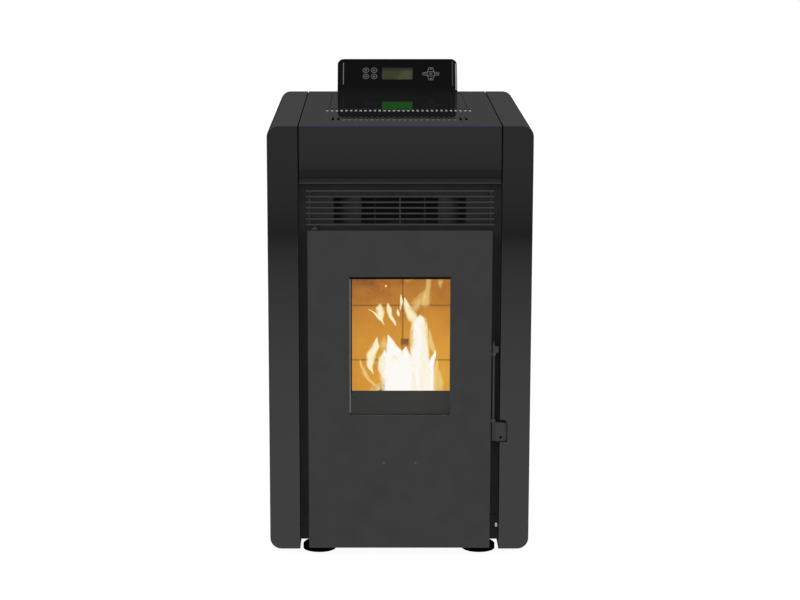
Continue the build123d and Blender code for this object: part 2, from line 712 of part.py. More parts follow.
def hopper_body(wall, top):
    """The hopper's filled shape, grown by a wall."""
    knee = drop(HOPPER_KNEE)
    half = OUTLET_WIDTH / 2 - SHEET + wall
    y0, y1 = MOUTH_Y0 - wall, MOUTH_Y1 + wall
    upper = block(-MOUTH_X - wall, MOUTH_X + wall, y0, y1, knee, top)
    mouth = Pos(0, (y0 + y1) / 2, knee) * Rectangle(2 * (MOUTH_X + wall), y1 - y0)
    outlet_end = drop(HOPPER_OUTLET_DROP) - (CUT if wall == 0 else 0)
    outlet = Pos(0, OUTLET_Y, outlet_end) * Rectangle(2 * half, 2 * half)
    return upper + loft([mouth.face(), outlet.face()], ruled=True)


def hopper_grate():
    """Wire guard across the hopper, so that no hand reaches the auger."""
    z = drop(GRATE_DROP)
    wires = spread(int(2 * MOUTH_X / GRATE_PITCH), GRATE_PITCH)
    grate = rod_x(-MOUTH_X, MOUTH_X, (MOUTH_Y0 + MOUTH_Y1) / 2, z - 1.5 * GRATE_WIRE, GRATE_WIRE)
    for x in wires:
        grate += rod_y(x, MOUTH_Y0, MOUTH_Y1, z, GRATE_WIRE)
    return grate


# ---------------------------------------------------------------- display

LEAN = radians(DISPLAY_LEAN)
DISPLAY_PLANE = Plane(
    origin=(DISPLAY_OFFSET, BACK_Y + DISPLAY_SETBACK, TOP_Z),
    x_dir=(1, 0, 0),
    z_dir=(0, -cos(LEAN), sin(LEAN)),
)


def slab(u0, u1, v0, v1, w0, w1):
    """A block in the display's own frame: across, up the slant and out of its face."""
    return DISPLAY_PLANE * block(u0, u1, v0, v1, w0, w1)


def rounded_slab(width, v0, v1, w0, w1, radius, top_only=False):
    """A centred slab with rounded corners in the display's own frame."""
    plate = block(-width / 2, width / 2, v0, v1, w0, w1)
    edges = plate.edges().filter_by(Axis.Z)
    if top_only:
        edges = edges.sort_by(Axis.Y)[-2:]
    return DISPLAY_PLANE * fillet(edges, radius)


def display_housing():
    """Leaning display case whose foot lies against the rear panel."""
    foot_reach = 2 * (DISPLAY_FOOT_DROP + DISPLAY_THICKNESS)
    case = rounded_slab(
        DISPLAY_WIDTH, -foot_reach, DISPLAY_SLANT, -DISPLAY_THICKNESS, 0, DISPLAY_RADIUS, top_only=True
    )
    half = DISPLAY_WIDTH / 2 + DISPLAY_OFFSET + CUT
    case -= block(-half, half, BACK_Y - 4 * foot_reach, BACK_Y, TOP_Z - 4 * foot_reach, TOP_Z + foot_reach)
    case -= block(
        -half, half, BACK_Y - foot_reach, BACK_Y + 4 * foot_reach, TOP_Z - 4 * foot_reach,
        drop(DISPLAY_FOOT_DROP),
    )
    case -= rounded_slab(
        FACE_WIDTH, FACE_START, FACE_START + FACE_HEIGHT, -FACE_THICKNESS, CUT, FACE_RADIUS
    )
    return case - slab(*lcd_span(0), -DISPLAY_THICKNESS + SHEET, CUT)


def lcd_span(gap):
    """The LCD's span across and up the slant, less a gap on every side."""
    return (
        -LCD_WIDTH / 2 + gap, LCD_WIDTH / 2 - gap, LCD_START + gap, LCD_START + LCD_HEIGHT - gap
    )


def display_face():
    """Glossy face sheet with the window for the LCD."""
    face = rounded_slab(
        FACE_WIDTH - 2 * FIT, FACE_START + FIT, FACE_START + FACE_HEIGHT - FIT, -FACE_THICKNESS,
        -FACE_THICKNESS / 4, FACE_RADIUS - FIT,
    )
    return face - slab(*lcd_span(0), -DISPLAY_THICKNESS, CUT)


def display_lcd():
    """LCD module standing in the case, its glass a little behind the face."""
    return slab(*lcd_span(FIT), -DISPLAY_THICKNESS + SHEET, -FACE_THICKNESS / 2)


def touch_keys():
    """Four round keys and a cross pad, as thin printed patches on the face."""
    w0 = -FACE_THICKNESS / 4
    w1 = w0 + KEY_THICKNESS
    keys = Part()
    for u in KEY_COLUMNS:
        for v in KEY_ROWS:
            keys += DISPLAY_PLANE * rod_z(u, v, w0, w1, KEY_RADIUS)
    pad_x, pad_y = PAD_CENTRE
    petal = Pos(0, 0, (w0 + w1) / 2) * extrude(
        SlotOverall(2 * PAD_REACH, PAD_PETAL_WIDTH), amount=KEY_THICKNESS / 2, both=True
    )
    cross = petal + Rot(0, 0, 90) * petal
    return keys + DISPLAY_PLANE * (Pos(pad_x, pad_y, 0) * cross)


# ---------------------------------------------------------------- feet and screws

FLANGE_SCREW_X = STRIP_X - SCREW_RADIUS / 2
FLANGE_SCREW_Z = BASE_HEIGHT + FLANGE_SCREW_RISE
FIRE_FLOOR = BASE_TOP + FIREBOX_LIFT + FIREBOX_WALL


def foot_places():
    """The four foot centres."""
    half = FOOT_SPREAD / 2
    return [(x, y) for x in (-half, half) for y in (deep(FOOT_INSET), BACK_Y - FOOT_INSET)]


def feet():
    """Round foot pads with a small bevel at the floor and an open seat for the stud."""
    pads = Part()
    for x, y in foot_places():
        pad = Pos(x, y, FOOT_THICKNESS / 2) * Cylinder(FOOT_RADIUS, FOOT_THICKNESS)
        pads += chamfer(pad.edges().sort_by(Axis.Z)[-1:], FOOT_THICKNESS / 5) - rod_z(
            x, y, FOOT_THICKNESS / 2, FOOT_THICKNESS + CUT, STUD_RADIUS
        )
    return pads


def foot_studs():
    """Levelling studs from the pads up to the base plate's upper face."""
    return Part() + [rod_z(x, y, FOOT_THICKNESS / 2, BASE_TOP, STUD_RADIUS) for x, y in foot_places()]


def foot_nuts():
    """Hexagonal lock nuts under the base plate."""
    nuts = Part()
    for x, y in foot_places():
        ring = RegularPolygon(NUT_RADIUS, 6) - Circle(STUD_RADIUS)
        nuts += Pos(x, y, BASE_HEIGHT - NUT_HEIGHT) * extrude(ring, amount=NUT_HEIGHT)
    return nuts


def rear_screw_places():
    """Screw centres down both edges of the rear panel."""
    x = WALL_X - REAR_FLANGE / 2
    low = BASE_HEIGHT + 2 * BASE_FLANGE_HEIGHT
    high = drop(2 * BASE_FLANGE_HEIGHT)
    step = (high - low) / (SCREW_ROWS - 1)
    return [(side * x, low + i * step) for side in (-1, 1) for i in range(SCREW_ROWS)]


def casing_screws():
    """Pan-head screws of the rear panel and of the base plate's front flange."""
    screws = Part()
    for x, z in rear_screw_places():
        screws += screw(x, BACK_Y, z, 1)
    for x in (-FLANGE_SCREW_X, FLANGE_SCREW_X):
        screws += screw(x, FLANGE_Y, FLANGE_SCREW_Z, -1)
    return screws


def screw(x, seat, z, outward):
    """A screw whose head stands on a seat plane and whose shank goes in."""
    head = sorted((seat, seat + outward * SCREW_HEAD))
    shank = sorted((seat, seat - outward * 2 * SHEET))
    return rod_y(x, head[0], head[1], z, SCREW_RADIUS) + rod_y(x, shank[0], shank[1], z, SCREW_SHANK_RADIUS)


# ---------------------------------------------------------------- door

DOOR_TOP = drop(DOOR_DROP)
DOOR_BOTTOM = DOOR_TOP - DOOR_HEIGHT
DOOR_Y = deep(DOOR_SETBACK)
SKIN_BACK = DOOR_Y + DOOR_SHEET
RETURN_Y = DOOR_Y + DOOR_RETURN
WINDOW_TOP = drop(WINDOW_DROP)
WINDOW_BOTTOM = WINDOW_TOP - WINDOW_HEIGHT
VIEW_TOP = WINDOW_TOP - VIEW_MARGIN
VIEW_BOTTOM = VIEW_TOP - VIEW_HEIGHT
HINGE_X = -DOOR_X + HINGE_INSET
HINGE_Y = deep(HINGE_DEPTH)
INNER_FRAME_X = DOOR_X - FRAME_INSET
INNER_FRAME_BACK = deep(FRAME_DEPTH)
INNER_FRAME_BOTTOM = FIRE_FLOOR - FRAME_INSET / 2
INNER_FRAME_TOP = DOOR_TOP - FRAME_WALL
GLASS_Y = SKIN_BACK + GLASS_GASKET
GLASS_BACK = GLASS_Y + GLASS_THICKNESS
COLLAR_Y = GLASS_BACK + GLASS_CLIP
LOWER_PLATE_Z = BASE_HEIGHT + LOWER_HINGE_RISE
UPPER_PLATE_Z = DOOR_TOP + HINGE_GAP


def door_skin():
    """Door skin: a flat sheet with four returns, the window and the seats of the two hinge pins."""
    outer = block(-DOOR_X, DOOR_X, DOOR_Y, RETURN_Y, DOOR_BOTTOM, DOOR_TOP)
    outer = fillet(outer.faces().sort_by(Axis.Y)[0].edges(), DOOR_EDGE_RADIUS)
    skin = outer - block(
        -DOOR_X + SHEET, DOOR_X - SHEET, SKIN_BACK, RETURN_Y + CUT, DOOR_BOTTOM + SHEET, DOOR_TOP - SHEET
    )
    window = block(
        -WINDOW_WIDTH / 2, WINDOW_WIDTH / 2, DOOR_Y - CUT, SKIN_BACK + CUT, WINDOW_BOTTOM, WINDOW_TOP
    )
    lower = window.edges().filter_by(Axis.Y).sort_by(Axis.Z)[:2]
    skin -= fillet(lower, WINDOW_RADIUS)
    half = HINGE_PLATE_WIDTH / 2
    for z0 in (DOOR_TOP - HINGE_LUG_HEIGHT, LOWER_PLATE_Z + HINGE_PLATE + BRACKET_GAP):
        z1 = z0 + HINGE_LUG_HEIGHT
        lug = block(HINGE_X - half, HINGE_X + half, SKIN_BACK - CUT, HINGE_Y + half, z0, z1)
        hole = rod_z(HINGE_X, HINGE_Y, z0 - CUT, z1 + CUT, HINGE_PIN_RADIUS + RUNNING_GAP)
        skin = skin + lug - hole
    skin -= block(
        -DOOR_X - CUT, HINGE_X - half - CUT, SKIN_BACK, RETURN_Y + CUT,
        LOWER_PLATE_Z - HINGE_GAP, LOWER_PLATE_Z + HINGE_PLATE + HINGE_GAP,
    )
    for x in (-RIVET_SPREAD / 2, RIVET_SPREAD / 2):
        skin -= rod_y(x, DOOR_Y - CUT, SKIN_BACK + CUT, drop(RIVET_DROP), RIVET_RADIUS / 2)
    return skin


def door_frame():
    """Welded inner frame that stiffens the door, carries the gasket and backs the glass."""
    frame = block(
        -INNER_FRAME_X, INNER_FRAME_X, SKIN_BACK, INNER_FRAME_BACK, INNER_FRAME_BOTTOM, INNER_FRAME_TOP
    )
    frame -= block(
        -INNER_FRAME_X + FRAME_WALL, INNER_FRAME_X - FRAME_WALL, SKIN_BACK - CUT,
        INNER_FRAME_BACK - FRAME_WALL, INNER_FRAME_BOTTOM + FRAME_WALL, INNER_FRAME_TOP - FRAME_WALL,
    )
    half = WINDOW_WIDTH / 2
    frame += block(
        -half - FRAME_WALL, half + FRAME_WALL, COLLAR_Y, INNER_FRAME_BACK,
        VIEW_BOTTOM - FRAME_WALL, WINDOW_TOP + FRAME_WALL,
    )
    return frame - block(-half, half, COLLAR_Y - CUT, INNER_FRAME_BACK + CUT, VIEW_BOTTOM, VIEW_TOP)


def glass_outline(y0, y1, margin):
    """A block around the window in the door's thickness."""
    half = WINDOW_WIDTH / 2 + margin
    return block(-half, half, y0, y1, WINDOW_BOTTOM - margin, WINDOW_TOP + margin)


def door_glass():
    """Heat-proof pane behind the window."""
    return glass_outline(GLASS_Y, GLASS_BACK, GLASS_MARGIN)


def glass_gasket():
    """Flat gasket between the pane and the skin."""
    return glass_outline(SKIN_BACK, GLASS_Y, GLASS_MARGIN) - glass_outline(SKIN_BACK - CUT, GLASS_Y + CUT, 0)


def glass_clips():
    """Four clips between the pane and the inner frame."""
    x0 = WINDOW_WIDTH / 2
    clips = Part()
    for z in (VIEW_BOTTOM + VIEW_HEIGHT / 5, WINDOW_TOP - VIEW_HEIGHT / 5):
        clip = block(x0, x0 + FRAME_WALL, GLASS_BACK, COLLAR_Y, z - GASKET_WIDTH, z + GASKET_WIDTH)
        clips += clip + other_side(clip)
    return clips


def door_gasket():
    """Rope gasket on the inner frame, just clear of the front frame when the door is shut."""
    outer_x = FIRE_OPENING_WIDTH / 2 + GASKET_WIDTH + SHEET
    low = FIRE_FLOOR - SHEET - GASKET_WIDTH
    high = FIRE_FLOOR + FIRE_OPENING_HEIGHT + SHEET + GASKET_WIDTH
    y1 = FRAME_Y - GASKET_GAP
    ring = block(-outer_x, outer_x, INNER_FRAME_BACK, y1, low, high)
    ring -= block(
        -outer_x + GASKET_WIDTH, outer_x - GASKET_WIDTH, INNER_FRAME_BACK - CUT, y1 + CUT,
        low + GASKET_WIDTH, high - GASKET_WIDTH,
    )
    corners = ring.edges().filter_by(Axis.Y)
    return fillet(corners, GASKET_WIDTH / 2)


def badge_rivets():
    """Two small domed rivets on the door."""
    rivets = Part()
    for x in (-RIVET_SPREAD / 2, RIVET_SPREAD / 2):
        head = rod_y(x, DOOR_Y - RIVET_HEAD, DOOR_Y, drop(RIVET_DROP), RIVET_RADIUS)
        rivets += head + rod_y(x, DOOR_Y, SKIN_BACK, drop(RIVET_DROP), RIVET_RADIUS / 2)
    return rivets


def hinge_brackets():
    """Upper and lower hinge plates with their pins; the upper pin has a head above the door."""
    half = HINGE_PLATE_WIDTH / 2
    brackets = Part()
    for z, seat, pin in (
        (UPPER_PLATE_Z, FRAME_Y, (DOOR_TOP - HINGE_LUG_HEIGHT, UPPER_PLATE_Z + HINGE_PLATE)),
        (LOWER_PLATE_Z, FLANGE_Y, (LOWER_PLATE_Z, LOWER_PLATE_Z + HINGE_PLATE + HINGE_LUG_HEIGHT)),
    ):
        plate = rod_z(HINGE_X, HINGE_Y, z, z + HINGE_PLATE, half)
        plate += block(HINGE_X - HINGE_ARM_OFFSET, HINGE_X + half, HINGE_Y, seat, z, z + HINGE_PLATE)
        brackets += plate + rod_z(HINGE_X, HINGE_Y, pin[0], pin[1], HINGE_PIN_RADIUS)
    top = UPPER_PLATE_Z + HINGE_PLATE
    return brackets + rod_z(HINGE_X, HINGE_Y, top, top + HINGE_PLATE, HINGE_HEAD_RADIUS)


# ---------------------------------------------------------------- latch

ROD_TOP = drop(ROD_TOP_DROP)


def latch_rod():
    """Upright latch rod beside the door's edge, from the grip up into the cam."""
    return rod_z(ROD_X, ROD_Y, ROD_BOTTOM, ROD_TOP, ROD_RADIUS)


def latch_grip():
    """Grip: a hub under the rod and a flat paddle that lies in the side panel's notch."""
    half = GRIP_THICKNESS / 2
    grip = block(
        ROD_X + GRIP_HUB_RADIUS, ROD_X + GRIP_REACH, ROD_Y - half, ROD_Y + half,
        GRIP_BOTTOM, GRIP_BOTTOM + GRIP_HEIGHT,
    )
    grip = fillet(grip.edges().filter_by(Axis.Y).sort_by(Axis.X)[-2:], GRIP_HUB_RADIUS / 2)
    grip += rod_z(ROD_X, ROD_Y, GRIP_BOTTOM, GRIP_BOTTOM + GRIP_HEIGHT, GRIP_HUB_RADIUS)
    grip += block(
        ROD_X, ROD_X + GRIP_HUB_RADIUS + CUT, ROD_Y - GRIP_HUB_RADIUS, ROD_Y + GRIP_HUB_RADIUS,
        GRIP_BOTTOM, GRIP_BOTTOM + GRIP_HEIGHT,
    )
    hole_z = GRIP_BOTTOM + GRIP_HEIGHT / 5
    return grip - rod_y(
        ROD_X + GRIP_HOLE_REACH, ROD_Y - half - CUT, ROD_Y + half + CUT, hole_z, GRIP_HOLE_RADIUS
    )


def latch_cam():
    """Cam on top of the rod: a level nose, a hub and a tapered end."""
    half = CAM_THICKNESS / 2
    top = ROD_TOP + CAM_HEIGHT
    nose = block(ROD_X, ROD_X + CAM_REACH, ROD_Y - half, ROD_Y + half, ROD_TOP, top)
    nose = fillet(nose.edges().filter_by(Axis.Z).sort_by(Axis.X)[-2:], CAM_THICKNESS / 4)
    hub = rod_z(ROD_X, ROD_Y, ROD_TOP, top, GRIP_HUB_RADIUS)
    tip = Pos(ROD_X, ROD_Y, top + CAM_TIP / 2) * Cone(ROD_RADIUS, ROD_RADIUS / 3, CAM_TIP)
    return nose + hub + tip


def latch_brackets():
    """Two brackets on the door's edge that the rod turns in."""
    brackets = Part()
    for z0 in (ROD_BOTTOM + BRACKET_GAP, ROD_TOP - BRACKET_GAP - BRACKET_HEIGHT):
        plate = block(
            DOOR_X, ROD_X + GRIP_HUB_RADIUS, ROD_Y - GRIP_HUB_RADIUS, ROD_Y + GRIP_HUB_RADIUS,
            z0, z0 + BRACKET_HEIGHT,
        )
        brackets += plate - rod_z(
            ROD_X, ROD_Y, z0 - CUT, z0 + BRACKET_HEIGHT + CUT, ROD_RADIUS + RUNNING_GAP
        )
    return brackets


def latch_keeper():
    """Keeper post on the front frame, right behind the closed cam."""
    x1 = ROD_X + CAM_REACH
    front = ROD_Y + CAM_THICKNESS / 2 + KEEPER_GAP
    return block(x1 - KEEPER_WIDTH, x1, front, FRAME_Y, ROD_TOP, ROD_TOP + CAM_HEIGHT * 2 / 3)


# ---------------------------------------------------------------- firebox

BOX_X = FIREBOX_WIDTH / 2
BOX_Y0 = FRAME_BACK
BOX_Y1 = BOX_Y0 + FIREBOX_DEPTH
BOX_Z0 = BASE_TOP + FIREBOX_LIFT
BOX_Z1 = BOX_Z0 + FIREBOX_HEIGHT
LINING_Y = BOX_Y1 - FIREBOX_WALL - BACK_LINING
LINING_TOP = FIRE_FLOOR + LINING_HEIGHT
HOLDER_Z0 = FIRE_FLOOR + HOLDER_RISE
HOLDER_Z1 = HOLDER_Z0 + HOLDER_HEIGHT
HOLDER_Y0 = deep(HOLDER_FRONT)
PIPE_Z = HOLDER_Z0 + HOLDER_HEIGHT / 2
POT_Y0 = deep(POT_FRONT)
POT_Y1 = POT_Y0 + POT_DEPTH
DUCT_X = EXHAUST_X - SCROLL_WIDTH / 2 - DUCT_WIDTH / 2
DUCT_Z0 = EXHAUST_HEIGHT - DUCT_HEIGHT / 2
DUCT_Z1 = EXHAUST_HEIGHT + DUCT_HEIGHT / 2
SLOPE = radians(AUGER_ANGLE)
AUGER_FOOT = (deep(AUGER_FOOT_DEPTH), AUGER_FOOT_HEIGHT)
AUGER_HEAD = (AUGER_FOOT[0] - AUGER_LENGTH * cos(SLOPE), AUGER_FOOT[1] + AUGER_LENGTH * sin(SLOPE))
OUTLET_Y = AUGER_FOOT[0] - OUTLET_WIDTH * 0.8


def auger_point(along, out):
    """A (y, z) point beyond the auger's head: along its axis and square to it, down and forward."""
    return (
        AUGER_HEAD[0] - along * cos(SLOPE) - out * sin(SLOPE),
        AUGER_HEAD[1] + along * sin(SLOPE) - out * cos(SLOPE),
    )


def chute_shape(gap, end_y):
    """The chute's filled shape, shrunk by a gap: a sloping duct from the auger's head to a wall."""
    out0 = -CHUTE_WIDTH / 2 + gap
    near, far = gap, CHUTE_DEPTH - gap
    lower = auger_point(near, out0)
    upper = auger_point(far, out0)
    points = [lower, upper]
    for start in (upper, lower):
        reach = (start[0] - end_y) / sin(SLOPE)
        points.append((end_y, start[1] - reach * cos(SLOPE)))
    half = CHUTE_WIDTH / 2 - gap
    return side_prism(points, -half, half)


def firebox():
    """Welded firebox on two skirts, open at the front, with the chute, air and smoke openings."""
    box = block(-BOX_X, BOX_X, BOX_Y0, BOX_Y1, BOX_Z0, BOX_Z1)
    box -= block(
        -BOX_X + FIREBOX_WALL, BOX_X - FIREBOX_WALL, BOX_Y0 - CUT, BOX_Y1 - FIREBOX_WALL,
        FIRE_FLOOR, BOX_Z1 - FIREBOX_WALL,
    )
    skirt = block(BOX_X - FIREBOX_WALL, BOX_X, BOX_Y0, BOX_Y1, BASE_TOP, BOX_Z0 + CUT)
    return box + skirt + other_side(skirt) - rear_openings(BOX_Y1 - FIREBOX_WALL - CUT, BOX_Y1 + CUT)


def rear_openings(y0, y1):
    """Cutting tools through the back of the firebox: chute, air pipe and smoke duct."""
    chute = chute_shape(CHUTE_WALL, y0)
    pipe = rod_y(0, y0, y1, PIPE_Z, PIPE_RADIUS)
    half = DUCT_WIDTH / 2 - CHUTE_WALL
    smoke = block(DUCT_X - half, DUCT_X + half, y0, y1, DUCT_Z0 + CHUTE_WALL, DUCT_Z1 - CHUTE_WALL)
    return [chute, pipe, smoke]


def back_lining():
    """Fireproof back lining with pressed brick joints and openings for chute, holder and smoke."""
    inner = BOX_X - FIREBOX_WALL
    y1 = BOX_Y1 - FIREBOX_WALL
    lining = block(-inner, inner, LINING_Y, y1, FIRE_FLOOR, LINING_TOP)
    lining -= rear_openings(LINING_Y - CUT, y1 + CUT)
    half = HOLDER_WIDTH / 2 + FIT
    lining -= block(-half, half, LINING_Y - CUT, y1 + CUT, HOLDER_Z0 - FIT, HOLDER_Z1 + FIT)
    joint_y = LINING_Y + BRICK_JOINT_DEPTH
    joint = BRICK_JOINT / 2
    z = FIRE_FLOOR + BRICK_LOWEST_JOINT
    while z < LINING_TOP:
        lining -= block(-inner - CUT, inner + CUT, LINING_Y - CUT, joint_y, z - joint, z + joint)
        z += BRICK_PITCH
    lining -= block(
        BRICK_UPRIGHT_X - joint, BRICK_UPRIGHT_X + joint, LINING_Y - CUT, joint_y,
        FIRE_FLOOR - CUT, LINING_TOP + CUT,
    )
    hole_z = FIRE_FLOOR + PEEPHOLE_HEIGHT
    half_hole = PEEPHOLE_SIZE / 2
    return lining - block(
        PEEPHOLE_X - half_hole, PEEPHOLE_X + half_hole, LINING_Y - CUT, y1 - BACK_LINING / 4,
        hole_z - half_hole, hole_z + half_hole,
    )


def side_linings():
    """Two plain side linings standing on the firebox floor."""
    x1 = BOX_X - FIREBOX_WALL
    lining = block(x1 - SIDE_LINING, x1, BOX_Y0 + LINING_FRONT_GAP, LINING_Y, FIRE_FLOOR, LINING_TOP)
    return lining + other_side(lining)


def baffle():
    """Flat baffle board lying on top of the linings."""
    half = BOX_X - FIREBOX_WALL - FIT
    y1 = BOX_Y1 - FIREBOX_WALL - FIT
    return block(
        -half, half, BOX_Y0 + LINING_FRONT_GAP, y1, LINING_TOP, LINING_TOP + BAFFLE_THICKNESS
    )


def burn_pot_holder():
    """Air box that carries the burn pot, open at its back to the air pipe."""
    half = HOLDER_WIDTH / 2
    holder = block(-half, half, HOLDER_Y0, BOX_Y1 - FIREBOX_WALL, HOLDER_Z0, HOLDER_Z1)
    holder -= block(
        -half + HOLDER_WALL, half - HOLDER_WALL, HOLDER_Y0 + HOLDER_WALL, BOX_Y1,
        HOLDER_Z0 + HOLDER_WALL, HOLDER_Z1 - HOLDER_WALL,
    )
    gap = POT_SIDE_GAP
    return holder - block(
        -POT_WIDTH / 2 - gap, POT_WIDTH / 2 + gap, POT_Y0 - gap, POT_Y1 + gap,
        HOLDER_Z1 - 2 * HOLDER_WALL, HOLDER_Z1 + CUT,
    )


def burn_pot():
    """Cast burn pot: a perforated cup that hangs by its flange and lifts straight out."""
    half = POT_WIDTH / 2
    floor_z = HOLDER_Z1 - POT_DROP
    pot = block(-half, half, POT_Y0, POT_Y1, floor_z, HOLDER_Z1 + POT_FLANGE)
    pot += block(
        -half - POT_RIM, half + POT_RIM, POT_Y0 - POT_RIM, POT_Y1 + POT_RIM,
        HOLDER_Z1, HOLDER_Z1 + POT_FLANGE,
    )
    pot -= block(
        -half + POT_WALL, half - POT_WALL, POT_Y0 + POT_WALL, POT_Y1 - POT_WALL,
        floor_z + POT_WALL, HOLDER_Z1 + POT_FLANGE + CUT,
    )
    middle_y = (POT_Y0 + POT_Y1) / 2
    offsets = spread(POT_HOLE_COUNT, POT_HOLE_PITCH)
    holes = [
        rod_z(dx, middle_y + dy, floor_z - CUT, floor_z + POT_WALL + CUT, POT_HOLE_RADIUS)
        for dx in offsets
        for dy in offsets
    ]
    side_z = floor_z + POT_DROP / 2
    holes += [rod_y(dx, POT_Y0 - CUT, POT_Y1 + CUT, side_z, POT_HOLE_RADIUS) for dx in offsets]
    return pot - holes


def igniter():
    """Cartridge igniter behind the pot, held in the air pipe by a strap."""
    y0 = POT_Y1 + IGNITER_POT_GAP
    y1 = y0 + IGNITER_LENGTH
    strap_half = PIPE_RADIUS - PIPE_WALL - FIT
    strap = block(
        -IGNITER_RADIUS, IGNITER_RADIUS, y1 - IGNITER_RADIUS, y1, PIPE_Z - strap_half, PIPE_Z + strap_half
    )
    strap &= rod_y(0, y1 - IGNITER_RADIUS - CUT, y1 + CUT, PIPE_Z, strap_half)
    return rod_y(0, y0, y1, PIPE_Z, IGNITER_RADIUS) + strap


def ash_pan():
    """Ash pan on the firebox floor with a bent handle at its front."""
    half = PAN_WIDTH / 2
    y0 = deep(PAN_FRONT)
    y1 = y0 + PAN_DEPTH
    pan = block(-half, half, y0, y1, FIRE_FLOOR, FIRE_FLOOR + PAN_HEIGHT)
    pan -= block(
        -half + PAN_WALL, half - PAN_WALL, y0 + PAN_WALL, y1 - PAN_WALL,
        FIRE_FLOOR + PAN_WALL, FIRE_FLOOR + PAN_HEIGHT + CUT,
    )
    z = FIRE_FLOOR + PAN_HEIGHT / 2
    bar_y = y0 - PAN_HANDLE_REACH
    grip = rod_x(-PAN_HANDLE_WIDTH / 2, PAN_HANDLE_WIDTH / 2, bar_y, z, PAN_HANDLE_RADIUS)
    for x in (-PAN_HANDLE_WIDTH / 2 + PAN_HANDLE_RADIUS, PAN_HANDLE_WIDTH / 2 - PAN_HANDLE_RADIUS):
        grip += rod_y(x, bar_y, y0 + PAN_WALL / 2, z, PAN_HANDLE_RADIUS)
    return pan + grip


def exchanger():
    """Heat exchanger: air cells over the firebox with curved guides behind the outer openings."""
    reach = CELL_REACH + EXCHANGER_WALL
    z0, z1 = BOX_Z1, BOX_Z1 + EXCHANGER_HEIGHT
    shell = block(-reach, reach, BOX_Y0, BOX_Y1, z0, z1)
    walls = ((BLADE_X, BLADE_WIDTH), (POST_X, POST_WIDTH))
    for x0, x1 in cell_spans(CELL_REACH, walls):
        shell -= block(x0, x1, BOX_Y0 - CUT, BOX_Y1 + CUT, z0 + EXCHANGER_WALL, z1 - EXCHANGER_WALL)
    axis_x = POST_X + POST_WIDTH / 2
    axis_y = BOX_Y0 + VANE_RADIUS
    vane = rod_z(axis_x, axis_y, z0 + SHEET, z1 - SHEET, VANE_RADIUS)
    vane -= rod_z(axis_x, axis_y, z0, z1, VANE_RADIUS - SHEET)
    vane &= block(axis_x - CUT, axis_x + VANE_RADIUS + CUT, BOX_Y0, axis_y, z0, z1)
    return shell + vane + other_side(vane)


# ---------------------------------------------------------------- pellet feed

AUGER_PLANE = Plane(
    origin=(0, AUGER_FOOT[0], AUGER_FOOT[1]), x_dir=(1, 0, 0), z_dir=(0, -cos(SLOPE), sin(SLOPE))
)


def auger_tube():
    """Sloping auger tube with its inlet box under the hopper's outlet."""
    tube = AUGER_PLANE * rod_z(0, 0, 0, AUGER_LENGTH, AUGER_TUBE_RADIUS)
    half = OUTLET_WIDTH / 2
    y0, y1 = OUTLET_Y - half, OUTLET_Y + half
    top = drop(HOPPER_OUTLET_DROP)
    bottom = AUGER_FOOT[1]
    tube += block(-half, half, y0, y1, bottom, top)
    below = AUGER_PLANE * block(-half - CUT, half + CUT, -4 * half, 0, -half, AUGER_LENGTH)
    tube -= below - AUGER_PLANE * rod_z(0, 0, -half, AUGER_LENGTH, AUGER_TUBE_RADIUS)
    bore = AUGER_PLANE * rod_z(0, 0, -CUT, AUGER_LENGTH + CUT, AUGER_TUBE_RADIUS - AUGER_TUBE_WALL)
    inlet = block(-half + SHEET, half - SHEET, y0 + SHEET, y1 - SHEET, bottom, top + CUT)
    inlet -= AUGER_PLANE * block(-half, half, -4 * half, 0, -half, AUGER_LENGTH)
    return tube - bore - inlet


def auger_screw():
    """Auger screw: a helical flight round a shaft that ends in the gearmotor."""
    outer = AUGER_TUBE_RADIUS - AUGER_TUBE_WALL - AUGER_SCREW_GAP
    length = AUGER_LENGTH - 2 * AUGER_SCREW_GAP
    half_arc = radians(AUGER_FLIGHT_ARC / 2)
    root = AUGER_SHAFT_RADIUS - AUGER_SCREW_GAP
    low = (root * cos(half_arc), root * sin(half_arc))
    high = (outer * cos(half_arc), outer * sin(half_arc))
    section = make_face(
        Line((low[0], -low[1]), (high[0], -high[1]))
        + ThreePointArc((high[0], -high[1]), (outer, 0), high)
        + Line(high, low)
        + Line(low, (low[0], -low[1]))
    )
    turns = length / AUGER_PITCH
    flight = Solid.extrude_linear_with_rotation(section.face(), (0, 0, 0), (0, 0, length), 360 * turns)
    shaft = rod_z(0, 0, -FAN_SHAFT_GRIP, length, AUGER_SHAFT_RADIUS)
    return AUGER_PLANE * (Pos(0, 0, AUGER_SCREW_GAP) * (shaft + flight))


def auger_gearmotor():
    """Gearbox that closes the tube's foot, with its motor and a bore for the screw's shaft."""
    half = GEARBOX_SIZE / 2
    flange = rod_z(0, 0, -AUGER_TUBE_WALL * 2, 0, AUGER_TUBE_RADIUS)
    box = block(-half, half, -half, half, -GEARBOX_LENGTH, -AUGER_TUBE_WALL)
    motor = rod_z(0, 0, -GEARBOX_LENGTH - GEARMOTOR_LENGTH, -GEARBOX_LENGTH + CUT, GEARMOTOR_RADIUS)
    bore = rod_z(0, 0, -FAN_SHAFT_GRIP, CUT, AUGER_SHAFT_RADIUS + RUNNING_GAP)
    return AUGER_PLANE * (flange + box + motor - bore)


def pellet_chute():
    """Chute from the auger's head down to the firebox's back wall."""
    chute = chute_shape(0, BOX_Y1) - chute_shape(CHUTE_WALL, BOX_Y1 - CUT)
    bore = AUGER_PLANE * rod_z(
        0, 0, AUGER_LENGTH - CUT, AUGER_LENGTH + CHUTE_WALL + CUT, AUGER_TUBE_RADIUS - AUGER_TUBE_WALL
    )
    return chute - bore


# ---------------------------------------------------------------- exhaust

